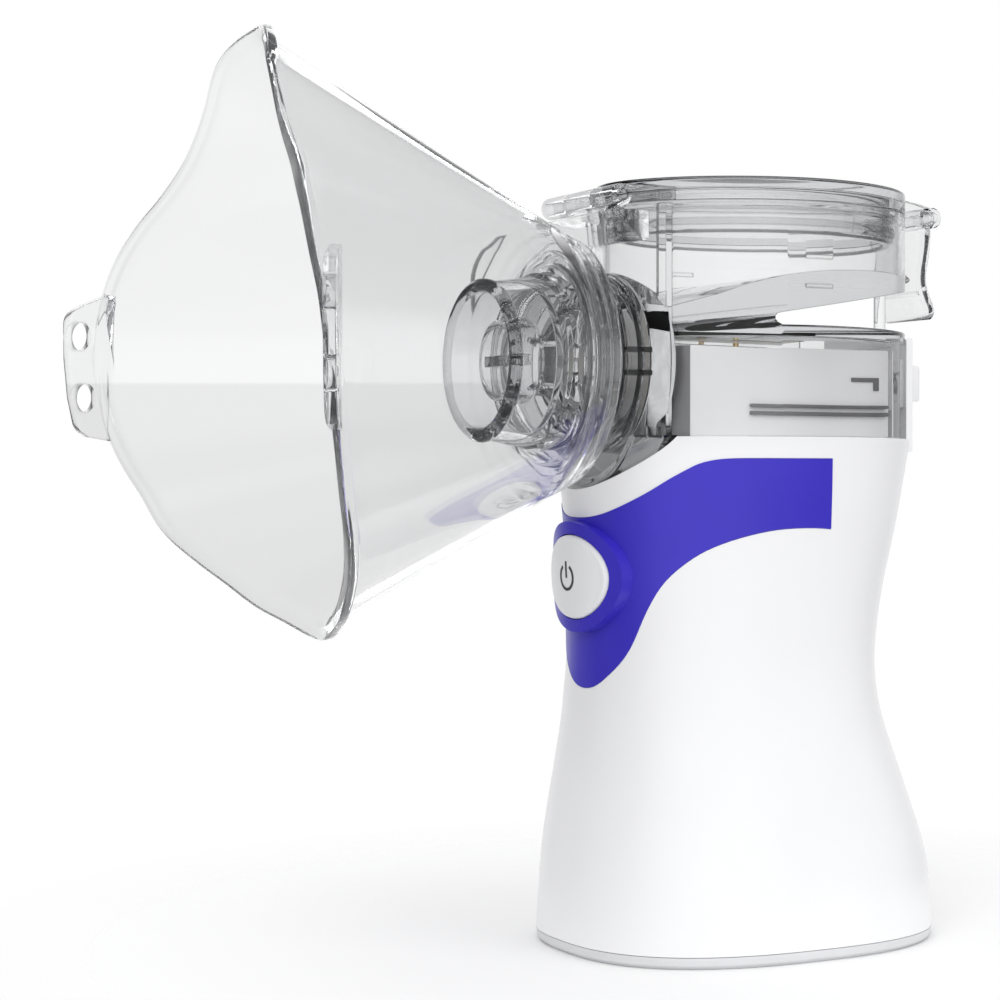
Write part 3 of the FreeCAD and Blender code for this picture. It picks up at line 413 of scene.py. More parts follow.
def clear(name, tint=(0.97, 0.975, 0.98), rough=0.02, ior=1.47, wave=40, wave_s=0.12, veil=0.0, veil_col=(0.8, 0.81, 0.82), shadow=0.9, edge=0.45, edge_at=0.72, coat=0.0, line=0.0, line_r=0.3, absorb=0.0, painted_shade_zones=None, spec=0.5):
    """Clear moulded plastic: refracting, with faint flow marks, a light body tint and soft see-through shadows."""
    m, nt, N, L = new_mat(name)
    out = N.new("ShaderNodeOutputMaterial"); g = N.new("ShaderNodeBsdfPrincipled")
    g.inputs["Transmission Weight"].default_value = 1.0
    g.inputs["IOR"].default_value = ior
    g.inputs["Specular IOR Level"].default_value = spec
    if coat:
        g.inputs["Coat Weight"].default_value = coat; g.inputs["Coat Roughness"].default_value = 0.02
    # painted shade: the body tint darkens towards grazing angles, standing in for the dark outlines that reflection and
    # refraction give at silhouettes
    lw = N.new("ShaderNodeLayerWeight"); lw.inputs["Blend"].default_value = 0.5
    er = N.new("ShaderNodeValToRGB")
    er.color_ramp.elements[0].position = 0.0; er.color_ramp.elements[0].color = (*tint, 1)
    er.color_ramp.elements[1].position = 1.0; er.color_ramp.elements[1].color = (edge, edge, edge * 1.02, 1)
    ek = er.color_ramp.elements.new(edge_at); ek.color = (*[c * 0.985 for c in tint], 1)
    L.new(lw.outputs["Facing"], er.inputs["Fac"]); tone = er.outputs["Color"]
    if line > 0:
        # painted shade: moulded edges are painted darker, so they read as lines
        bv = N.new("ShaderNodeBevel"); bv.samples = 4; bv.inputs["Radius"].default_value = line_r * MM
        ge = N.new("ShaderNodeNewGeometry")
        dp = N.new("ShaderNodeVectorMath"); dp.operation = "DOT_PRODUCT"
        L.new(bv.outputs["Normal"], dp.inputs[0]); L.new(ge.outputs["Normal"], dp.inputs[1])
        lr = N.new("ShaderNodeMapRange"); lr.interpolation_type = "SMOOTHSTEP"
        lr.inputs["From Min"].default_value = 0.985; lr.inputs["From Max"].default_value = 0.78
        lr.inputs["To Min"].default_value = 1.0; lr.inputs["To Max"].default_value = 1.0 - line
        L.new(dp.outputs["Value"], lr.inputs["Value"])
        ml = N.new("ShaderNodeVectorMath"); ml.operation = "SCALE"
        L.new(tone, ml.inputs[0]); L.new(lr.outputs["Result"], ml.inputs["Scale"])
        tone = ml.outputs["Vector"]
    if painted_shade_zones:
        # painted shade: the lower half and the upper near side of the mask are painted darker, with a clear band
        # between them; the tube gets its upper part painted darker
        oc = N.new("ShaderNodeTexCoord"); sx = N.new("ShaderNodeSeparateXYZ"); L.new(oc.outputs["Object"], sx.inputs["Vector"])

        def step(sock, a, b):
            m_ = N.new("ShaderNodeMapRange"); m_.interpolation_type = "SMOOTHSTEP"
            m_.inputs["From Min"].default_value = min(a, b); m_.inputs["From Max"].default_value = max(a, b)
            if a > b:
                m_.inputs["To Min"].default_value = 1.0; m_.inputs["To Max"].default_value = 0.0
            L.new(sock, m_.inputs["Value"])
            return m_.outputs["Result"]

        def mul(p_, q_, op="MULTIPLY"):
            m_ = N.new("ShaderNodeMath"); m_.operation = op
            for i_, v_ in enumerate((p_, q_)):
                if isinstance(v_, float):
                    m_.inputs[i_].default_value = v_
                else:
                    L.new(v_, m_.inputs[i_])
            return m_.outputs["Value"]
        if painted_shade_zones == "mask":
            low = mul(step(sx.outputs["Z"], 0.0876, 0.0868), step(sx.outputs["X"], 0.006, -0.006))
            up = mul(step(sx.outputs["Z"], 0.0905, 0.0950), step(sx.outputs["X"], -0.006, 0.012))
            dim = mul(mul(low, 0.125), mul(up, 0.085), "MAXIMUM")
        else:
            dim = mul(step(sx.outputs["Z"], 0.0900, 0.0935), 0.13)
        shade = mul(1.0, dim, "SUBTRACT")
        mz = N.new("ShaderNodeVectorMath"); mz.operation = "SCALE"
        L.new(tone, mz.inputs[0]); L.new(shade, mz.inputs["Scale"]); tone = mz.outputs["Vector"]
    L.new(tone, g.inputs["Base Color"])
    if absorb > 0:
        va = N.new("ShaderNodeVolumeAbsorption"); va.inputs["Color"].default_value = (0.42, 0.44, 0.46, 1); va.inputs["Density"].default_value = absorb
        L.new(va.outputs["Volume"], out.inputs["Volume"])
    b, no, tc = noise_bump(nt, wave, wave_s, 0.0006, 1.5)
    fine = N.new("ShaderNodeTexNoise"); fine.inputs["Scale"].default_value = 420; fine.inputs["Detail"].default_value = 5
    L.new(tc.outputs["Object"], fine.inputs["Vector"])
    mr = N.new("ShaderNodeMapRange"); mr.inputs["From Min"].default_value = 0.35; mr.inputs["From Max"].default_value = 0.75
    mr.inputs["To Min"].default_value = rough; mr.inputs["To Max"].default_value = rough * 1.8 + 0.008
    L.new(fine.outputs["Fac"], mr.inputs["Value"]); L.new(mr.outputs["Result"], g.inputs["Roughness"])
    L.new(b.outputs["Normal"], g.inputs["Normal"])
    lp = N.new("ShaderNodeLightPath"); tr = N.new("ShaderNodeBsdfTransparent")
    tr.inputs["Color"].default_value = (shadow, shadow, shadow, 1)
    src = g.outputs["BSDF"]
    if veil > 0:
        d = N.new("ShaderNodeBsdfDiffuse"); d.inputs["Color"].default_value = (*veil_col, 1)
        mv = N.new("ShaderNodeMixShader"); mv.inputs["Fac"].default_value = veil
        L.new(src, mv.inputs[1]); L.new(d.outputs["BSDF"], mv.inputs[2]); src = mv.outputs["Shader"]
    mx = N.new("ShaderNodeMixShader")
    mm = N.new("ShaderNodeMath"); mm.operation = "MAXIMUM"
    L.new(lp.outputs["Is Shadow Ray"], mm.inputs[0]); L.new(lp.outputs["Is Diffuse Ray"], mm.inputs[1])
    L.new(mm.outputs["Value"], mx.inputs["Fac"]); L.new(src, mx.inputs[1]); L.new(tr.outputs["BSDF"], mx.inputs[2])
    L.new(mx.outputs["Shader"], out.inputs["Surface"])
    return m


M = {}
M["white_shell"] = plastic("white_shell_look", (0.86, 0.862, 0.87), rough=0.30, grain=1900, grain_s=0.05, coat=0.15, var=0.008)
M["blue_panel"] = plastic("blue_panel_look", (0.037, 0.023, 0.49), rough=0.34, grain=2200, grain_s=0.07, var=0.05, coat=0.1)
M["base_grey"] = plastic("base_grey_look", (0.68, 0.685, 0.70), rough=0.45, grain=1700, grain_s=0.12, var=0.02)
M["steel"] = plastic("steel_look", (0.55, 0.55, 0.56), rough=0.3, grain=3000, grain_s=0.1, metallic=1.0, var=0.05)
M["plated_contact"] = plastic("plated_contact_look", (0.68, 0.66, 0.62), rough=0.25, grain=3200, grain_s=0.1, metallic=1.0, var=0.06)
M["tray_black"] = plastic("tray_black_look", (0.03, 0.03, 0.033), rough=0.5, grain=2000, grain_s=0.2, var=0.2)
M["cell_jacket"] = plastic("cell_jacket_look", (0.25, 0.26, 0.29), rough=0.3, grain=1500, grain_s=0.08, metallic=0.8, var=0.06)
M["board_green"] = plastic("board_green_look", (0.02, 0.15, 0.06), rough=0.35, grain=1300, grain_s=0.2, var=0.25, coat=0.3)
M["chip_black"] = plastic("chip_black_look", (0.02, 0.02, 0.022), rough=0.55, grain=2600, grain_s=0.25, var=0.2)
M["capacitor_can"] = plastic("capacitor_can_look", (0.6, 0.6, 0.62), rough=0.3, grain=2600, grain_s=0.08, metallic=1.0, var=0.05)
M["button_grey"] = plastic("button_grey_look", (0.82, 0.825, 0.835), rough=0.36, grain=2300, grain_s=0.07, var=0.01, coat=0.1)
M["mark_grey"] = plastic("mark_grey_look", (0.06, 0.06, 0.066), rough=0.5, grain=2600, grain_s=0.1, var=0.08)
M["tower_grey"] = plastic("tower_grey_look", (0.86, 0.86, 0.865), rough=0.42, grain=1800, grain_s=0.1, var=0.015)
# painted shade: a dark copy of the tower grey for its front faces
M["tower_dark"] = plastic("tower_dark_look", (0.22, 0.22, 0.225), rough=0.5, grain=1800, grain_s=0.1, var=0.02)
M["tower_rail"] = plastic("tower_rail_look", (0.16, 0.16, 0.165), rough=0.5, grain=1800, grain_s=0.1, var=0.03)
M["gold_pin"] = plastic("gold_pin_look", (0.83, 0.58, 0.22), rough=0.25, grain=3000, grain_s=0.08, metallic=1.0, var=0.05)
M["seal_rubber"] = plastic("seal_rubber_look", (0.62, 0.62, 0.61), rough=0.6, grain=1800, grain_s=0.15, var=0.04)
M["piezo_ceramic"] = plastic("piezo_ceramic_look", (0.62, 0.60, 0.56), rough=0.5, grain=2600, grain_s=0.15, var=0.06)
M["mesh_steel"] = plastic("mesh_steel_look", (0.5, 0.5, 0.5), rough=0.35, grain=5200, grain_s=0.6, metallic=1.0, var=0.12)
M["wire_red"] = plastic("wire_red_look", (0.42, 0.03, 0.025), rough=0.45, grain=1800, grain_s=0.1, var=0.08)
M["clear_plastic"] = clear("clear_plastic_look", tint=(0.968, 0.971, 0.974), rough=0.012, ior=1.3, wave=30, wave_s=0.02, shadow=0.9, edge=0.25, edge_at=0.66, coat=0.5, line=0.92, line_r=0.38, absorb=15)
# a darker copy of the clear plastic for the drum: body absorption plus painted shade for the shadowed scoop
M["clear_port_shaded"] = clear("clear_port_look", tint=(0.90, 0.903, 0.908), rough=0.02, ior=1.36, wave=30, wave_s=0.03, shadow=0.85, edge=0.2, edge_at=0.55, coat=0.8, line=0.7, line_r=0.3, absorb=20)
# the mask material carries painted shade on its lower far side and upper near side
M["clear_mask"] = clear("clear_mask_look", tint=(0.986, 0.988, 0.990), rough=0.004, ior=1.17, wave=22, wave_s=0.04, veil=0.015, shadow=0.93, edge=0.3, edge_at=0.93, coat=0.55, line=0.7, line_r=0.4, absorb=12, painted_shade_zones="mask")
M["clear_soft"] = clear("clear_soft_look", tint=(0.95, 0.953, 0.957), rough=0.02, ior=1.13, wave=30, wave_s=0.02, shadow=0.9, edge=0.25, edge_at=0.66, coat=0.7, line=0.6, line_r=0.16, absorb=8)
M["clear_hinge"] = clear("clear_hinge_look", tint=(0.93, 0.933, 0.937), rough=0.008, ior=1.07, wave=30, wave_s=0.02, shadow=0.9, edge=0.12, edge_at=0.5, coat=0.5, line=0.5, line_r=0.12, absorb=8)
# painted shade: darker copies of the clear plastic for the adapter mouth's face and rim
M["lip_face"] = clear("lip_face_look", tint=(0.86, 0.86, 0.87), rough=0.02, ior=1.10, wave=30, wave_s=0.02, shadow=0.88, edge=0.3, edge_at=0.8, coat=0.5, absorb=14)
M["lip_edge"] = clear("lip_edge_look", tint=(0.70, 0.70, 0.71), rough=0.02, ior=1.10, wave=30, wave_s=0.02, shadow=0.88, edge=0.3, edge_at=0.8, coat=0.5, absorb=14)
# painted shade: a dark copy of the clear plastic for moulded edges, the baffle bar and the drum grooves
M["clear_painted_shade"] = clear("clear_edge_look", tint=(0.34, 0.34, 0.35), rough=0.02, ior=1.3, wave=30, wave_s=0.02, shadow=0.8, edge=0.1, edge_at=0.5, coat=0.6, absorb=11)
# the tube material has its upper part painted darker: painted shade
M["clear_tube"] = clear("clear_tube_look", tint=(0.945, 0.948, 0.952), rough=0.008, ior=1.10, wave=30, wave_s=0.02, shadow=0.88, edge=0.25, edge_at=0.72, coat=0.5, line=0.9, line_r=0.34, absorb=14, painted_shade_zones="tube")
M["clear_silicone"] = clear("clear_silicone_look", tint=(0.955, 0.957, 0.96), rough=0.05, ior=1.12, wave=60, wave_s=0.04, veil=0.01, shadow=0.85, edge=0.5, edge_at=0.8)
# painted shadow: a darker copy of the silicone for the gasket fins
M["seal_line"] = clear("seal_line_look", tint=(0.60, 0.60, 0.61), rough=0.05, ior=1.12, wave=60, wave_s=0.04, shadow=0.85, edge=0.4, edge_at=0.7)
M["clear_pin"] = clear("clear_pin_look", tint=(0.985, 0.987, 0.99), rough=0.03, ior=1.03, wave=60, wave_s=0.02, shadow=0.95, edge=0.6, coat=0.3)


def paint(o, key):
    m = M[key]
    o.data.materials.clear()
    o.data.materials.append(m)


SLOT_OF = {s["node"]: s["material_slot"] for s in frame["record"]["subparts"]}
for n_, o_ in NODES.items():
    key = SLOT_OF[n_]
    if len(o_.material_slots) == 0:
        o_.data.materials.append(M[key])
    for s_ in o_.material_slots:
        s_.material = M[key]


def dress(o, key):
    paint(o, key)
    return o


# ------------------------------------------------------------ face mask
ROWS = [(math.atan2(z - PORT_Z, w), math.hypot(z - PORT_Z, w), y) for z, w, y in RIM]


def rim_rows(t):
    f = t
    while f > math.pi:
        f -= 2 * math.pi
    if f > math.pi / 2:
        f = math.pi - f
    elif f < -math.pi / 2:
        f = -math.pi - f
    f = max(-math.pi / 2, min(math.pi / 2, f))
    return hermite(ROWS, f, flat_ends=True)


NT = 288
WALL = 1.25
rings = []
for i in range(NT):
    t = -math.pi / 2 + 2 * math.pi * i / NT
    r, y = rim_rows(t)
    # the wall keeps one thickness from the neck to the lip
    dr, dy = (r - 1.0) - 19.0, (y + 1.7) + 31.5
    ln_ = math.hypot(dr, dy)
    nr, ny_ = WALL * dy / ln_, -WALL * dr / ln_
    yc_ = -31.5 + ny_ + dy / dr * (21.6 - 19.0 - nr)
    rc_ = 21.6
    if yc_ > -37.1:
        rc_ = 21.6 + (-37.1 - yc_) * dr / dy
        yc_ = -37.1
    prof = [
        (19.0, -31.5, 0.35, 26),
        (r - 1.0, y + 1.7, 1.6, 0),
        (r + 1.0, y + 1.35, 0.45, 0),
        (r + 1.25, y - 0.1, 0.45, 1),
        (r - 0.7, y - 0.35, 0.4, 0),
        (r - 1.0 + nr, y + 1.7 + ny_, 0.8, 26),
        (rc_, yc_, 0.3, 0),
        (21.0, -37.0, 0.3, 0),
        (19.5, -36.8, 0.3, 0),
        (19.2, -35.8, 0.3, 0),
        (17.9, -35.7, 0.3, 0),
        (17.6, -34.8, 0.3, 0),
        (15.8, -34.7, 0.3, 0),
        (15.6, -35.2, 0.25, 0),
        (13.35, -35.2, 0.3, 0),
        (13.35, -33.42, 0.25, 0),
        (15.7, -33.42, 0.25, 0),
        (16.0, -32.6, 0.25, 0),
        (17.4, -32.6, 0.25, 0),
        (17.7, -31.5, 0.3, 0)]
    pp = round_poly(prof, 3)
    rings.append([(rr * math.cos(t), yy, PORT_Z + rr * math.sin(t)) for rr, yy in pp])
mask = grid("face_mask_shell", rings, angle=50)

# strap tabs: rounded plates with two holes, joined to the lip
TAB_T, TAB_O, TAB_Z = (0.882, -0.471), (45.2, -88.7), 90.0


def tab_obj(s):
    cu = bpy.data.curves.new("tab_curve", "CURVE")
    cu.dimensions = "2D"; cu.fill_mode = "BOTH"
    cu.extrude = 0.00065; cu.bevel_depth = 0.00015; cu.bevel_resolution = 3
    outline = round_poly([(-0.6, -11.75, 0), (4.2, -11.1, 1.5), (6.6, -9.9, 2.6), (8.0, -5.0, 3.0), (8.8, 1.5, 3.0), (8.85, 8.3, 2.4), (5.0, 9.65, 1.5), (-0.6, 11.0, 0)], 8)
    loops = [[(u, v) for u, v in outline]]
    for du, dz in ((6.1, 4.8), (5.1, -5.0)):
        loops.append([(du + (2.3 + 0.15) * math.cos(2 * math.pi * k / 32), dz + (2.3 + 0.15) * math.sin(2 * math.pi * k / 32)) for k in range(32)])
    for lp_ in loops:
        sp = cu.splines.new("POLY"); sp.points.add(len(lp_) - 1)
        for k, (u, v) in enumerate(lp_):
            sp.points[k].co = (u * MM, v * MM, 0, 1)
        sp.use_cyclic_u = True
    tmp = bpy.data.objects.new("tab_tmp", cu); COL.objects.link(tmp)
    bpy.context.view_layer.update()
    dg = bpy.context.evaluated_depsgraph_get()
    me = bpy.data.meshes.new_from_object(tmp.evaluated_get(dg))
    bpy.data.objects.remove(tmp)
    bm = bmesh.new(); bm.from_mesh(me)
    bmesh.ops.remove_doubles(bm, verts=bm.verts, dist=0.00002)
    tx, ty = TAB_T[0] * s, TAB_T[1]
    nx, ny = -ty * s, TAB_T[0]
    for v in bm.verts:
        u, w, h = v.co.x / MM, v.co.y / MM, v.co.z / MM + 0.8
        v.co = Vector(((TAB_O[0] * s + tx * u + nx * h) * MM, (TAB_O[1] + ty * u + ny * h) * MM, (TAB_Z + w) * MM))
    outward(bm)
    bm.to_mesh(me); bm.free()
    return link("mask_tab_tmp", me)


for s in (1, -1):
    boolean(mask, tab_obj(s), "UNION")
smooth(mask, 42)
add(dress(mask, "clear_mask"), "mask", "clear_mask", "face_mask")

# --------------------------------------------------- adapter tube and baffle
adapter = lathe_y("adapter_tube", [
    (13.87, -29.2, 0.15), (15.2, -29.2, 0.3), (15.3, -30.6, 0.2), (14.9, -30.8, 0.2), (14.9, -32.3, 0.2), (15.3, -32.5, 0.2),
    (15.3, -33.3, 0.15), (13.25, -33.3, 0.1), (13.25, -36.8, 0.3, 1), (12.7, -37.3, 0.4, 8), (11.75, -44.3, 0.5), (12.15, -44.8, 0.4),
    (12.15, -45.5, 0.45), (11.5, -45.97, 0.4), (10.5, -45.97, 0.4), (10.1, -45.3, 0.5, 8), (10.95, -37.4, 0.5, 2), (11.25, -34.9, 0.4),
    (11.25, -33.25, 0.3), (13.87, -33.25, 0.2)], n=160)
dress(adapter, "clear_tube")
# painted shade: the end face and rim edges of the mouth get darker clear materials
adapter.data.materials.append(M["lip_face"]); adapter.data.materials.append(M["lip_edge"])
for p in adapter.data.polygons:
    y = p.center.y / MM
    rr = math.hypot(p.center.x, p.center.z - PORT_Z * MM) / MM
    if y < -45.9:
        p.material_index = 1
    elif y < -45.3 or (y < -44.4 and rr > 11.8):
        p.material_index = 2
add(adapter, "adapter", "clear_plastic", "mask_adapter")
baffle = lathe_y("baffle_ring", [
    (5.2, -37.0, 0.3), (10.7, -37.0, 0.2), (10.7, -38.2, 0.2), (6.4, -38.2, 0.5, 2), (6.1, -42.5, 0.3), (5.0, -42.5, 0.3, 2)], n=96)
bar = box_obj("bar_tmp", (-5.7, -42.0, PORT_Z - 0.8), (5.7, -39.5, PORT_Z + 0.8), 0.15)
boolean(baffle, bar, "UNION")
smooth(baffle, 40)
dress(baffle, "clear_soft")
# painted shade: the cross bar's faces get the dark clear material
baffle.data.materials.append(M["clear_painted_shade"])
for p in baffle.data.polygons:
    if math.hypot(p.center.x, p.center.z - PORT_Z * MM) < 0.00485 and abs(p.center.z / MM - PORT_Z) < 0.95:
        p.material_index = 1
add(baffle, "adapter", "clear_plastic", "spray_baffle")

# ------------------------------------------------------------- port drum
drum = lathe_y("port_drum", [
    (4.5, -26.3, 0.2), (8.2, -26.3, 0.1), (8.2, -23.6, 0.1), (13.75, -23.6, 0.25), (13.75, -24.6, 0.2), (13.2, -24.8, 0.2),
    (13.2, -25.6, 0.2), (13.75, -25.8, 0.2), (13.75, -27.4, 0.2), (13.35, -27.6, 0.15), (13.35, -28.2, 0.15), (13.75, -28.4, 0.2, 2),
    (13.75, -33.0, 0.4), (11.6, -33.0, 0.4, 2), (11.4, -28.4, 0.3), (9.0, -28.2, 0.3), (8.6, -30.5, 0.3), (7.6, -30.5, 0.3), (7.2, -28.2, 0.3),
    (6.2, -28.2, 0.3)], n=144)
for k in range(8):
    w = 2 * math.pi * (k + 0.5) / 8
    c, s_ = math.cos(w), math.sin(w)
    rib = box_obj("rib_tmp", (8.4, -31.6, -0.45), (11.9, -27.9, 0.45), 0.12)
    for v in rib.data.vertices:
        x, y, z = v.co
        v.co = (x * c - z * s_, y, x * s_ + z * c + PORT_Z * MM)
    boolean(drum, rib, "UNION")
for w in (0.0, math.pi):
    for dz in (-2.0, 1.4):
        x0, x1 = (13.3, 14.5) if w == 0.0 else (-14.5, -13.3)
        boolean(drum, box_obj("rib_tmp", (x0, -28.0, PORT_Z + dz - 0.4), (x1, -23.7, PORT_Z + dz + 0.4), 0.12), "UNION")
smooth(drum, 40)
# the drum's darker clear material is partly painted shade
dress(drum, "clear_port_shaded")
# painted shade: the grooves and side ribs of the drum get the dark clear material
drum.data.materials.append(M["clear_painted_shade"])
for p in drum.data.polygons:
    x, y, z = p.center.x / MM, p.center.y / MM, p.center.z / MM - PORT_Z
    rr = math.hypot(x, z)
    if (rr > 13.0 and (-28.35 < y < -27.65 or -25.7 < y < -24.75)) or abs(x) > 13.78:
        p.material_index = 1
add(drum, "cup", "clear_plastic", "nozzle_housing")

# -------------------------------------------- cup, lid, latch, tower, button
# cup: lower skirt over the tower, sloping gap at the back, reservoir above
def yz_slab(name, pts, x0=-40.0, x1=40.0):
    return bar_x(name, pts, x0, x1)


SKF, CW = -19.2, 1.4
skirt = cup_solid("medicine_cup_shell", [(-8, 78.5, 0), (0, 78.5, 0.2), (0, 95.3, 0.35), (-8, 95.3, 0)])
boolean(skirt, box_obj("t", (-40, -60, 60), (40, SKF, 130)))
void = cup_solid("t", [(-8, 77.0, 0), (-1.5, 77.0, 0), (-1.5, 93.7, 0.8), (-8, 93.7, 0)])
boolean(void, box_obj("t", (-40, -60, 60), (40, SKF + 1.6, 130)))
boolean(skirt, void)
boolean(skirt, box_obj("t", (-13.6, 14, 77), (13.6, 40, 93.66), 0.0))
res = cup_solid("t", [(-8, 94.55, 0), (0, 94.55, 0), (0, 113.9, 0.3), (-8, 113.9, 0)])
FLOOR = [(-30, 97.4), (-20, 97.6), (-18, 97.95), (-16, 98.6), (-14, 99.25), (-12, 99.9), (-10, 100.7), (-8, 101.4), (-5.5, 102.1), (-3, 102.7), (-0.5, 103.1), (2, 103.4),
         (5, 103.7), (8, 103.9), (14, 104.15), (20, 104.25), (34, 104.25), (34, 130), (-30, 130)]
well = cup_solid("t", [(-10, 95.0, 0), (-CW, 95.0, 0), (-CW, 125.0, 0), (-10, 125.0, 0)])
boolean(well, yz_slab("t", FLOOR), "INTERSECT")
boolean(res, well)
WEDGE = [(-3.9, 94.0), (-3.9, 95.3), (-4.6, 95.65), (-4.95, 96.1), (-4.95, 96.55), (-4.6, 96.95), (-3.7, 97.15), (45, 105.02), (45, 94.0)]
boolean(res, yz_slab("t", WEDGE))
soften(res, lambda x, y, z: y > -3.4 and abs(z - (97.15 + (y + 3.7) * 7.87 / 48.7)) < 0.02 and (abs(x / CUP_A) ** CUP_N + abs((y - CUP_YC) / CUP_B) ** CUP_N) > 0.985, 0.55, 3)
cup = skirt
boolean(cup, res, "UNION")
boolean(cup, rod("t", "z", 0.95, 94.6, 103.4, (0.0, 28.1)), "UNION")
# seat of the spray drum, hollowed by the reservoir above
seat = rod("t", "y", 13.75, -23.5, SKF + 0.05, (0.0, PORT_Z), 144, 0.2)
boolean(seat, cup_solid("t", [(-10, 97.4, 0), (-CW, 97.4, 0), (-CW, 125.0, 0), (-10, 125.0, 0)]))
boolean(cup, seat, "UNION")
# clear shroud in the scoop below the drum
shroud = lathe_y("t", [(19.0, -27.5, 0.5), (19.0, -19.7, 0.4), (13.3, -19.7, 0.1), (13.3, -21.2, 0.3), (17.5, -21.2, 0.5), (17.5, -27.2, 0.5)], n=144)
boolean(shroud, box_obj("t", (-25, -30, 60), (25, -15, 78.6)), "INTERSECT")
boolean(cup, shroud, "UNION")
for s in (-1, 1):
    rib = box_obj("t", (9.6 if s > 0 else -11.2, -20.25, 78.5), (11.2 if s > 0 else -9.6, -18.2, 113.6), 0.3, 3)
    boolean(rib, cup_solid("t", [(-8, 60, 0), (0.9, 60, 0), (0.9, 120, 0), (-8, 120, 0)]), "INTERSECT")
    boolean(cup, rib, "UNION")
inside = cup_solid("t", [(-10, 96, 0), (-CW, 96, 0), (-CW, 125.0, 0), (-10, 125.0, 0)])
web = bar_x("t", round_poly([(-27.95, 112.3, 0.4), (-27.5, 111.5, 0.8), (-23.7, 108.0, 1.2), (-22.0, 108.0, 0), (-22.0, 112.3, 0)], 4), -10.8, 10.8, 0.25)
boolean(web, inside, drop=False)
web.name = "cup_hinge_knuckle"
knuckle = bar_x("t", [(-28.2, 113.6), (-28.2, 112.2), (-22.4, 112.2), (-22.4, 113.8), (-27.0, 113.8)], -4.0, 4.0, 0.1)
boolean(knuckle, inside)
boolean(web, knuckle, "UNION")
boolean(web, rod("t", "x", 1.75, -4.0, 4.0, (-27.0, 114.3), 56, 0.2), "UNION")
boolean(web, rod("t", "x", 0.9, -5.0, 5.0, (-27.0, 114.3), 40, 0.0))
tidy(web)
add(dress(web, "clear_hinge"), "cup", "clear_plastic")
catch = bar_x("t", round_poly([(28.9, 103.4, 0), (30.6, 103.9, 0.3), (31.0, 104.4, 0.3), (29.0, 106.0, 0)], 3), -4.5, 4.5, 0.2)
boolean(catch, cup_solid("t", [(-10, 96, 0), (-0.2, 96, 0), (-0.2, 125.0, 0), (-10, 125.0, 0)]))
boolean(cup, catch, "UNION")
boolean(cup, box_obj("t", (-3.0, -21.9, 95.4), (3.0, -20.6, 98.2)))
for x0 in (-7.4, 2.6):
    boolean(cup, box_obj("t", (x0, -17.0, 93.4), (x0 + 4.8, 8.0, 94.5)))
# two raised level bars on each side of the reservoir
for s in (-1, 1):
    for zt in (101.2, 105.6):
        ys = [-0.2 + 0.6 * k for k in range(9)]
        def wall_x(y, off):
            q = max(0.0, 1 - abs((y - CUP_YC) / (CUP_B + off)) ** CUP_N)
            return (CUP_A + off) * q ** (1 / CUP_N) * s
        prof = []
        for y in ys:
            prof.append([(wall_x(y, -0.5), y, zt - 0.3), (wall_x(y, 0.08), y, zt - 0.3), (wall_x(y, 0.16), y, zt - 0.2),
                         (wall_x(y, 0.16), y, zt + 0.2), (wall_x(y, 0.08), y, zt + 0.3), (wall_x(y, -0.5), y, zt + 0.3)])
        boolean(cup, grid("t", prof, closed_u=False, closed_v=True, cap0=True, cap1=True, angle=40), "UNION")
tidy(cup)
dress(cup, "clear_plastic")


def soften_look(o, test):
    """A second clear finish for the small knuckles, where the mould leaves a duller surface."""
    o.data.materials.append(M["clear_hinge"])
    for p in o.data.polygons:
        c = p.center
        if test(c.x / MM, c.y / MM, c.z / MM):
            p.material_index = 1


def ring_at(x, y):
    return abs(x / CUP_A) ** CUP_N + abs((y - CUP_YC) / CUP_B) ** CUP_N


def paint_edge_shade(o, test, key="clear_painted_shade"):
    """Painted shade: the faces that pass the test get a darker clear material, standing in for the dark lines seen
    along moulded edges.
    """
    o.data.materials.append(M[key])
    k_ = len(o.data.materials) - 1
    for p in o.data.polygons:
        c = p.center
        if test(c.x / MM, c.y / MM, c.z / MM):
            p.material_index = k_


# painted shade: the seat rim by the drum and the deck line of the cup are painted darker
paint_edge_shade(cup, lambda x, y, z: y < -19.25 and z < 97.3 and abs(math.hypot(x, z - PORT_Z) - 13.75) < 0.35, "clear_port_shaded")
paint_edge_shade(cup, lambda x, y, z: 94.93 < z < 95.4 and 0.97 < ring_at(x, y) < 1.03)
add(cup, "cup", "clear_plastic", "medicine_cup")

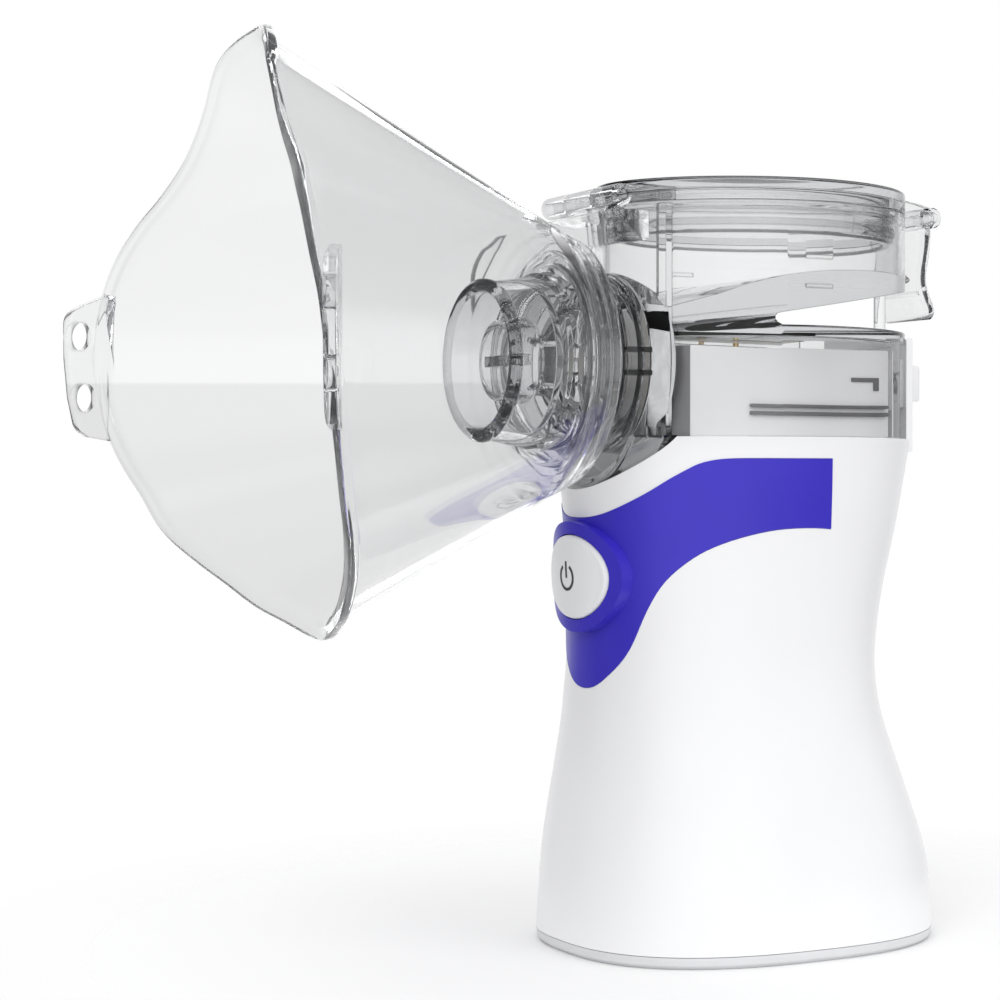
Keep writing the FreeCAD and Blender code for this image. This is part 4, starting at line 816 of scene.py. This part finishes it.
# lid: shallow cap with an inner plug ring, hinge knuckles and latch ears
lid = cup_solid("lid_cover", [(-8, 117.5, 0), (0, 117.5, 0.55), (0, 114.0, 0.3), (-1.3, 114.0, 0.25), (-1.3, 116.0, 0.3), (-2.7, 116.0, 0.3), (-2.7, 109.65, 0), (-2.7, 109.2, 0.2),
                              (-3.9, 109.2, 0.2), (-3.9, 109.65, 0), (-3.9, 116.0, 0.5), (-8, 116.0, 0)])
inlid = cup_solid("t", [(-10, 100, 0), (-1.3, 100, 0), (-1.3, 116.6, 0), (-10, 116.6, 0)])
for s in (-1, 1):
    x0, x1 = (4.2, 11.0) if s > 0 else (-11.0, -4.2)
    arm = box_obj("t", (x0, -27.0, 114.05), (x1, -17.5, 116.0), 0.15, 2)
    boolean(arm, inlid, drop=False)
    boolean(arm, rod("t", "x", 1.75, x0, x1, (-27.0, 114.3), 56, 0.22), "UNION")
    boolean(arm, rod("t", "x", 0.9, -12.0, 12.0, (-27.0, 114.3), 40, 0.0))
    arm.name = "lid_hinge_arm_" + ("right" if s > 0 else "left")
    tidy(arm)
    add(dress(arm, "clear_hinge"), "lid", "clear_plastic")
    e0, e1 = (6.2, 7.7) if s > 0 else (-7.7, -6.2)
    ear = bar_x("t", round_poly([(26.0, 114.05, 0), (26.0, 117.0, 0), (30.6, 116.2, 0.5), (32.6, 115.75, 0.5), (33.0, 114.2, 0.2), (32.6, 112.7, 0.4), (30.2, 112.9, 0.4), (30.0, 114.05, 0)], 3), e0, e1, 0.12)
    boolean(ear, inlid, drop=False)
    boolean(lid, ear, "UNION")
    boolean(lid, rod("t", "x", 1.65, e0, e1, (33.0, 114.2), 56, 0.2), "UNION")
bpy.data.objects.remove(inlid)
boolean(lid, rod("t", "x", 0.9, -8.0, 8.0, (33.0, 114.2), 40, 0.0))
tidy(lid)
dress(lid, "clear_plastic")
soften_look(lid, lambda x, y, z: ring_at(x, y) > 1.02 and y > 0)
# painted shade: the top edge of the lid and the lower edge of its plug ring are painted darker
paint_edge_shade(lid, lambda x, y, z: z > 116.93 and 0.965 < ring_at(x, y) < 1.02)
paint_edge_shade(lid, lambda x, y, z: z < 109.66)
add(lid, "lid", "clear_plastic", "lid_shell")

# latch: ring above, thin waved lever below
LM = [(113.4, 33.3), (111.5, 33.25), (109.6, 33.15), (107.6, 32.85), (105.8, 32.5), (104.2, 32.42), (102.6, 32.75), (101.2, 33.35), (100.0, 33.9), (98.9, 34.05), (98.1, 33.7)]
mid = []
for k in range(49):
    z = 113.4 - (113.4 - 98.1) * k / 48
    mid.append((hermite(LM, z)[0], z))
outl, inl = [], []
for i, p in enumerate(mid):
    q0, q1 = mid[max(i - 1, 0)], mid[min(i + 1, len(mid) - 1)]
    dy, dz = q1[0] - q0[0], q1[1] - q0[1]
    L_ = math.hypot(dy, dz); ny, nz = -dz / L_, dy / L_
    h = 0.62 if i < 46 else 0.62 - 0.12 * (i - 45)
    outl.append((p[0] + h * ny, p[1] + h * nz)); inl.append((p[0] - h * ny, p[1] - h * nz))
latch = bar_x("lid_latch_lever", outl + inl[::-1], -6.0, 6.0, 0.22)
boolean(latch, rod("t", "x", 1.65, -6.0, 6.0, (33.0, 114.2), 56, 0.22), "UNION")
boolean(latch, bar_x("t", round_poly([(31.4, 102.2, 0.15), (33.1, 101.6, 0), (33.1, 103.2, 0)], 3), -5.0, 5.0, 0.1), "UNION")
boolean(latch, rod("t", "x", 0.9, -8.0, 8.0, (33.0, 114.2), 40, 0.0))
tidy(latch)
add(dress(latch, "clear_soft"), "latch", "clear_plastic", "lid_latch")

# connector tower: chamfered front, guide rails and two screw pads
TW = [(11.9, 20.6), (11.9, -15.4), (9.2, -16.9), (-9.2, -16.9), (-11.9, -15.4), (-11.9, 20.6)]


def prism_z(name, pts, z0, z1, bev):
    bm = bmesh.new()
    lo_ = [bm.verts.new((x * MM, y * MM, z0 * MM)) for x, y in pts]
    hi_ = [bm.verts.new((x * MM, y * MM, z1 * MM)) for x, y in pts]
    bm.faces.new(lo_[::-1]); bm.faces.new(hi_)
    for i in range(len(pts)):
        j = (i + 1) % len(pts)
        bm.faces.new((lo_[i], lo_[j], hi_[j], hi_[i]))
    bmesh.ops.recalc_face_normals(bm, faces=bm.faces)
    if bev:
        es = [e for e in bm.edges if max(v.co.z for v in e.verts) > (z0 + 0.1) * MM]
        bmesh.ops.bevel(bm, geom=es, offset=bev * MM, segments=3, profile=0.5, affect="EDGES")
    me = bpy.data.meshes.new(name); bm.to_mesh(me); bm.free()
    return smooth(link(name, me), 40)


tower = prism_z("connector_tower_shell", TW, 78.4, 92.3, 0.35)
boolean(tower, box_obj("t", (-10.5, -14.2, 77.0), (10.5, 19.2, 90.8)))
for x, y in ((0, -11.0), (0, 15.5)):
    boolean(tower, rod("t", "z", 2.8, 78.4, 91.0, (x, y), 40, 0.0), "UNION")
    boolean(tower, rod("t", "z", 1.0, 77.0, 88.0, (x, y), 32, 0.0))
for x in (-5.0, 5.0):
    boolean(tower, rod("t", "z", 0.77, 88.0, 94.0, (x, -3.0), 32, 0.0))
tidy(tower, 35)
tower.data.materials.clear()
tower.data.materials.append(M["tower_grey"]); tower.data.materials.append(M["tower_dark"])
# painted shade: the front-facing and chamfer faces get the dark grey, standing in for the shade that falls there
for p in tower.data.polygons:
    if p.normal.y < -0.55 and p.center.y < -0.0145:
        p.material_index = 1
add(tower, "base_unit", "tower_grey", "connector_tower")
rails = None
for s in (-1, 1):
    x0, x1 = (11.6, 12.6) if s > 0 else (-12.6, -11.6)
    for z0, z1 in ((82.0, 82.6), (83.2, 83.7)):
        r_ = box_obj("tower_guide_rails" if rails is None else "t", (x0, -5.0, z0), (x1, 20.0, z1), 0.12, 2)
        if rails is None:
            rails = r_
        else:
            boolean(rails, r_, "UNION")
    for lo_, hi_ in (((11.7 if s > 0 else -12.15, 13.6, 87.35), (12.15 if s > 0 else -11.7, 18.6, 88.0)),
                     ((11.7 if s > 0 else -12.15, 17.7, 86.0), (12.15 if s > 0 else -11.7, 18.6, 88.0))):
        boolean(rails, box_obj("t", lo_, hi_, 0.08, 2), "UNION")
tidy(rails, 35)
add(dress(rails, "tower_rail"), "base_unit", "tower_grey")

plate = dress(refine("base_plate", 0.18, 2), "base_grey")
door = dress(refine("battery_door", 0.15, 2), "base_grey")
relb = dress(refine("release_button_cap", 0.2, 2), "white_shell")
# the coil is drawn at its pressed length, so the button never passes through it
coil = dress(refine("release_spring", 0.0), "steel")
for v in coil.data.vertices:
    v.co.y = (21.0 + (v.co.y / MM - 21.0) * 0.76) * MM
gasket = cup_ring("lid_seal_fins", [
    (-2.65, 109.75, 0.1), (-2.25, 109.75, 0.1), (-2.25, 110.3, 0.05), (-1.9, 110.45, 0.12), (-1.9, 111.35, 0.12), (-2.25, 111.5, 0.05), (-2.25, 112.6, 0.05),
    (-1.9, 112.75, 0.1), (-1.9, 113.1, 0.1), (-2.25, 113.25, 0.05), (-2.25, 113.7, 0.08), (-2.65, 113.7, 0.1)], seg=2)
dress(gasket, "clear_silicone")
# painted shadow: the raised fins get the darker silicone, standing in for the shadow lines between the fins
gasket.data.materials.append(M["seal_line"])
for p in gasket.data.polygons:
    if 110.3 < p.center.z / MM < 111.5 or 112.6 < p.center.z / MM < 113.25:
        p.material_index = 1
add(gasket, "lid", "clear_silicone", "lid_gasket")

# ------------------------------------------------------------- button cap
BZ, BA, BB = 57.2, 8.45, 6.4


def button_cap():
    n, rows = 96, []
    # (scale towards the edge, height above the body surface)
    shape = [(1.0, -2.4), (1.0, 1.2), (0.995, 1.75), (0.975, 2.1), (0.94, 2.3), (0.88, 2.42), (0.78, 2.5), (0.62, 2.56), (0.44, 2.6), (0.24, 2.62), (0.08, 2.63)]
    for k, h in shape:
        r = []
        for i in range(n):
            w = 2 * math.pi * i / n
            x, z = BA * k * math.cos(w), BZ + BB * k * math.sin(w)
            r.append((x, front_y(x, z) - h, z))
        rows.append(r)
    back = [(p[0], -24.4, p[2]) for p in rows[0]]
    rows = [back] + rows
    return grid("power_button_dome", rows, closed_u=False, cap0=True, cap1=True, angle=45)


btn = button_cap()
add(dress(btn, "button_grey"), "power_button", "button_grey")


def on_button(x, z):
    k = min(0.99, math.hypot(x / BA, (z - BZ) / BB))
    pts = [(0.0, 2.63), (0.24, 2.62), (0.44, 2.6), (0.62, 2.56), (0.78, 2.5), (0.88, 2.42), (0.94, 2.3), (0.975, 2.1), (1.0, 1.2)]
    h = hermite(pts, k)[0]
    return front_y(x, z) - h


def icon():
    bm = bmesh.new()
    cz = BZ - 0.05

    def strip(path, half, th=0.07):
        prev = None
        n = len(path)
        for k, (x, z) in enumerate(path):
            a, b = path[max(k - 1, 0)], path[min(k + 1, n - 1)]
            dx, dz = b[0] - a[0], b[1] - a[1]
            L = math.hypot(dx, dz); nx, nz = -dz / L, dx / L
            q = []
            for sgn, lift in ((-1, -0.05), (-1, th), (1, th), (1, -0.05)):
                px, pz = x + nx * half * sgn, z + nz * half * sgn
                q.append(bm.verts.new((px * MM, (on_button(px, pz) - lift) * MM, pz * MM)))
            if prev:
                for j in range(4):
                    bm.faces.new((prev[j], prev[(j + 1) % 4], q[(j + 1) % 4], q[j]))
            else:
                bm.faces.new(q[::-1])
            prev = q
        bm.faces.new(prev)
    R = 1.85
    a0, a1 = math.radians(90 + 32), math.radians(90 + 360 - 32)
    strip([(R * math.cos(a0 + (a1 - a0) * k / 40), cz + R * math.sin(a0 + (a1 - a0) * k / 40)) for k in range(41)], 0.22)
    strip([(0, cz - 0.1 + 0.28 * k) for k in range(10)], 0.22)
    bmesh.ops.recalc_face_normals(bm, faces=bm.faces)
    me = bpy.data.meshes.new("power_mark_print"); bm.to_mesh(me); bm.free()
    return smooth(link("power_mark_print", me), 30)


mark = icon()
add(dress(mark, "mark_grey"), "power_button", "mark_grey", "power_mark")

# ------------------------------------------------------- floor, world, light
def disc(name, r0, r1, n=96, z=-0.00002):
    bm = bmesh.new()
    rows = []
    for r in (r0, 0.12, 0.25, 0.5, 1.0, r1):
        rows.append([bm.verts.new((r * math.cos(2 * math.pi * i / n), r * math.sin(2 * math.pi * i / n), z)) for i in range(n)])
    for a, b in zip(rows, rows[1:]):
        for i in range(n):
            bm.faces.new((a[i], b[i], b[(i + 1) % n], a[(i + 1) % n]))
    bm.faces.new(rows[0])
    me = bpy.data.meshes.new(name); bm.to_mesh(me); bm.free()
    return link(name, me)


floor = disc("studio_floor", 0.04, 2.0)
fm, nt, N, L = new_mat("studio_floor_paint")
out = N.new("ShaderNodeOutputMaterial"); d = N.new("ShaderNodeBsdfDiffuse"); d.inputs["Color"].default_value = (0.9, 0.9, 0.9, 1)
tr = N.new("ShaderNodeBsdfTransparent"); mx = N.new("ShaderNodeMixShader")
tc = N.new("ShaderNodeTexCoord"); ln = N.new("ShaderNodeVectorMath"); ln.operation = "LENGTH"
mr = N.new("ShaderNodeMapRange"); mr.interpolation_type = "SMOOTHSTEP"
mr.inputs["From Min"].default_value = 0.045; mr.inputs["From Max"].default_value = 0.13
no = N.new("ShaderNodeTexNoise"); no.inputs["Scale"].default_value = 25
L.new(tc.outputs["Object"], ln.inputs[0]); L.new(ln.outputs["Value"], mr.inputs["Value"])
lpf = N.new("ShaderNodeLightPath"); mxf = N.new("ShaderNodeMath"); mxf.operation = "MAXIMUM"
L.new(mr.outputs["Result"], mxf.inputs[0]); L.new(lpf.outputs["Is Transmission Ray"], mxf.inputs[1])
L.new(mxf.outputs["Value"], mx.inputs["Fac"]); L.new(d.outputs["BSDF"], mx.inputs[1]); L.new(tr.outputs["BSDF"], mx.inputs[2])
L.new(mx.outputs["Shader"], out.inputs["Surface"])
floor.data.materials.append(fm)

world = bpy.data.worlds.new("studio"); scn.world = world
world.use_nodes = True
nt = world.node_tree; N, L = nt.nodes, nt.links
for n in list(N):
    N.remove(n)
wo = N.new("ShaderNodeOutputWorld"); bg = N.new("ShaderNodeBackground")
lp = N.new("ShaderNodeLightPath")
tc = N.new("ShaderNodeTexCoord")
sep = N.new("ShaderNodeSeparateXYZ")
nrm = N.new("ShaderNodeVectorMath"); nrm.operation = "NORMALIZE"
L.new(tc.outputs["Camera"], nrm.inputs[0]); L.new(nrm.outputs["Vector"], sep.inputs["Vector"])
ab = N.new("ShaderNodeMath"); ab.operation = "ABSOLUTE"; L.new(sep.outputs["Z"], ab.inputs[0])
ramp = N.new("ShaderNodeValToRGB")
cr = ramp.color_ramp
cr.elements[0].position = 0.0; cr.elements[0].color = (0.16, 0.16, 0.165, 1)
cr.elements[1].position = 1.0; cr.elements[1].color = (0.97, 0.97, 0.97, 1)
e = cr.elements.new(0.45); e.color = (0.08, 0.08, 0.085, 1)
e = cr.elements.new(0.72); e.color = (0.45, 0.45, 0.46, 1)
e = cr.elements.new(0.88); e.color = (0.93, 0.93, 0.935, 1)
L.new(ab.outputs["Value"], ramp.inputs["Fac"])
mixd = N.new("ShaderNodeMix"); mixd.data_type = "RGBA"
mixc = N.new("ShaderNodeMix"); mixc.data_type = "RGBA"
L.new(lp.outputs["Is Diffuse Ray"], mixd.inputs[0])
L.new(ramp.outputs["Color"], mixd.inputs[6]); mixd.inputs[7].default_value = (0.67, 0.67, 0.675, 1)
L.new(lp.outputs["Is Camera Ray"], mixc.inputs[0])
L.new(mixd.outputs[2], mixc.inputs[6]); mixc.inputs[7].default_value = (1.0, 1.0, 1.0, 1)
L.new(mixc.outputs[2], bg.inputs["Color"]); bg.inputs["Strength"].default_value = 1.0
L.new(bg.outputs["Background"], wo.inputs["Surface"])


def area(name, loc, target, size, power, sy=None, glossy=False):
    l = bpy.data.lights.new(name, "AREA"); l.energy = power; l.size = size
    if sy:
        l.shape = "RECTANGLE"; l.size_y = sy
    o = bpy.data.objects.new(name, l); COL.objects.link(o)
    o.location = loc
    o.rotation_euler = (Vector(target) - Vector(loc)).to_track_quat("-Z", "Y").to_euler()
    o.visible_glossy = glossy; o.visible_transmission = glossy
    return o


CEN = (0, -0.02, 0.07)
area("key_soft", (0.55, -0.55, 0.55), CEN, 0.5, 2.5)
area("fill_soft", (0.75, 0.35, 0.30), CEN, 0.6, 1.95)
area("top_soft", (-0.05, 0.0, 0.8), CEN, 0.7, 1.8)

# ----------------------------------------------------------------- camera
AZ, DIST, UC, ZC = math.radians(62.749), 371.315, -37.016, 72.048
cam_d = bpy.data.cameras.new("camera"); cam = bpy.data.objects.new("camera", cam_d); COL.objects.link(cam)
cam.location = ((math.sin(AZ) * DIST + UC * math.cos(AZ)) * MM, (-math.cos(AZ) * DIST + UC * math.sin(AZ)) * MM, ZC * MM)
pitch = math.atan((500 - 479.257) / 2349.9)
fwd = Vector((-math.sin(AZ) * math.cos(pitch), math.cos(AZ) * math.cos(pitch), -math.sin(pitch)))
cam.rotation_euler = fwd.to_track_quat("-Z", "Y").to_euler()
cam_d.sensor_width = 36.0; cam_d.lens = 36.0 * 2349.9 / 1000.0
cam_d.clip_start = 0.01; cam_d.clip_end = 20
scn.camera = cam
scn.view_settings.view_transform = "Standard"
scn.view_settings.look = "None"
scn.view_settings.exposure = 0.0
try:
    scn.cycles.use_denoising = True
    scn.cycles.max_bounces = 20
    scn.cycles.transmission_bounces = 18
    scn.cycles.transparent_max_bounces = 24
    scn.cycles.glossy_bounces = 6
    scn.cycles.diffuse_bounces = 4
    scn.cycles.caustics_reflective = False
    scn.cycles.caustics_refractive = False
except Exception:
    pass
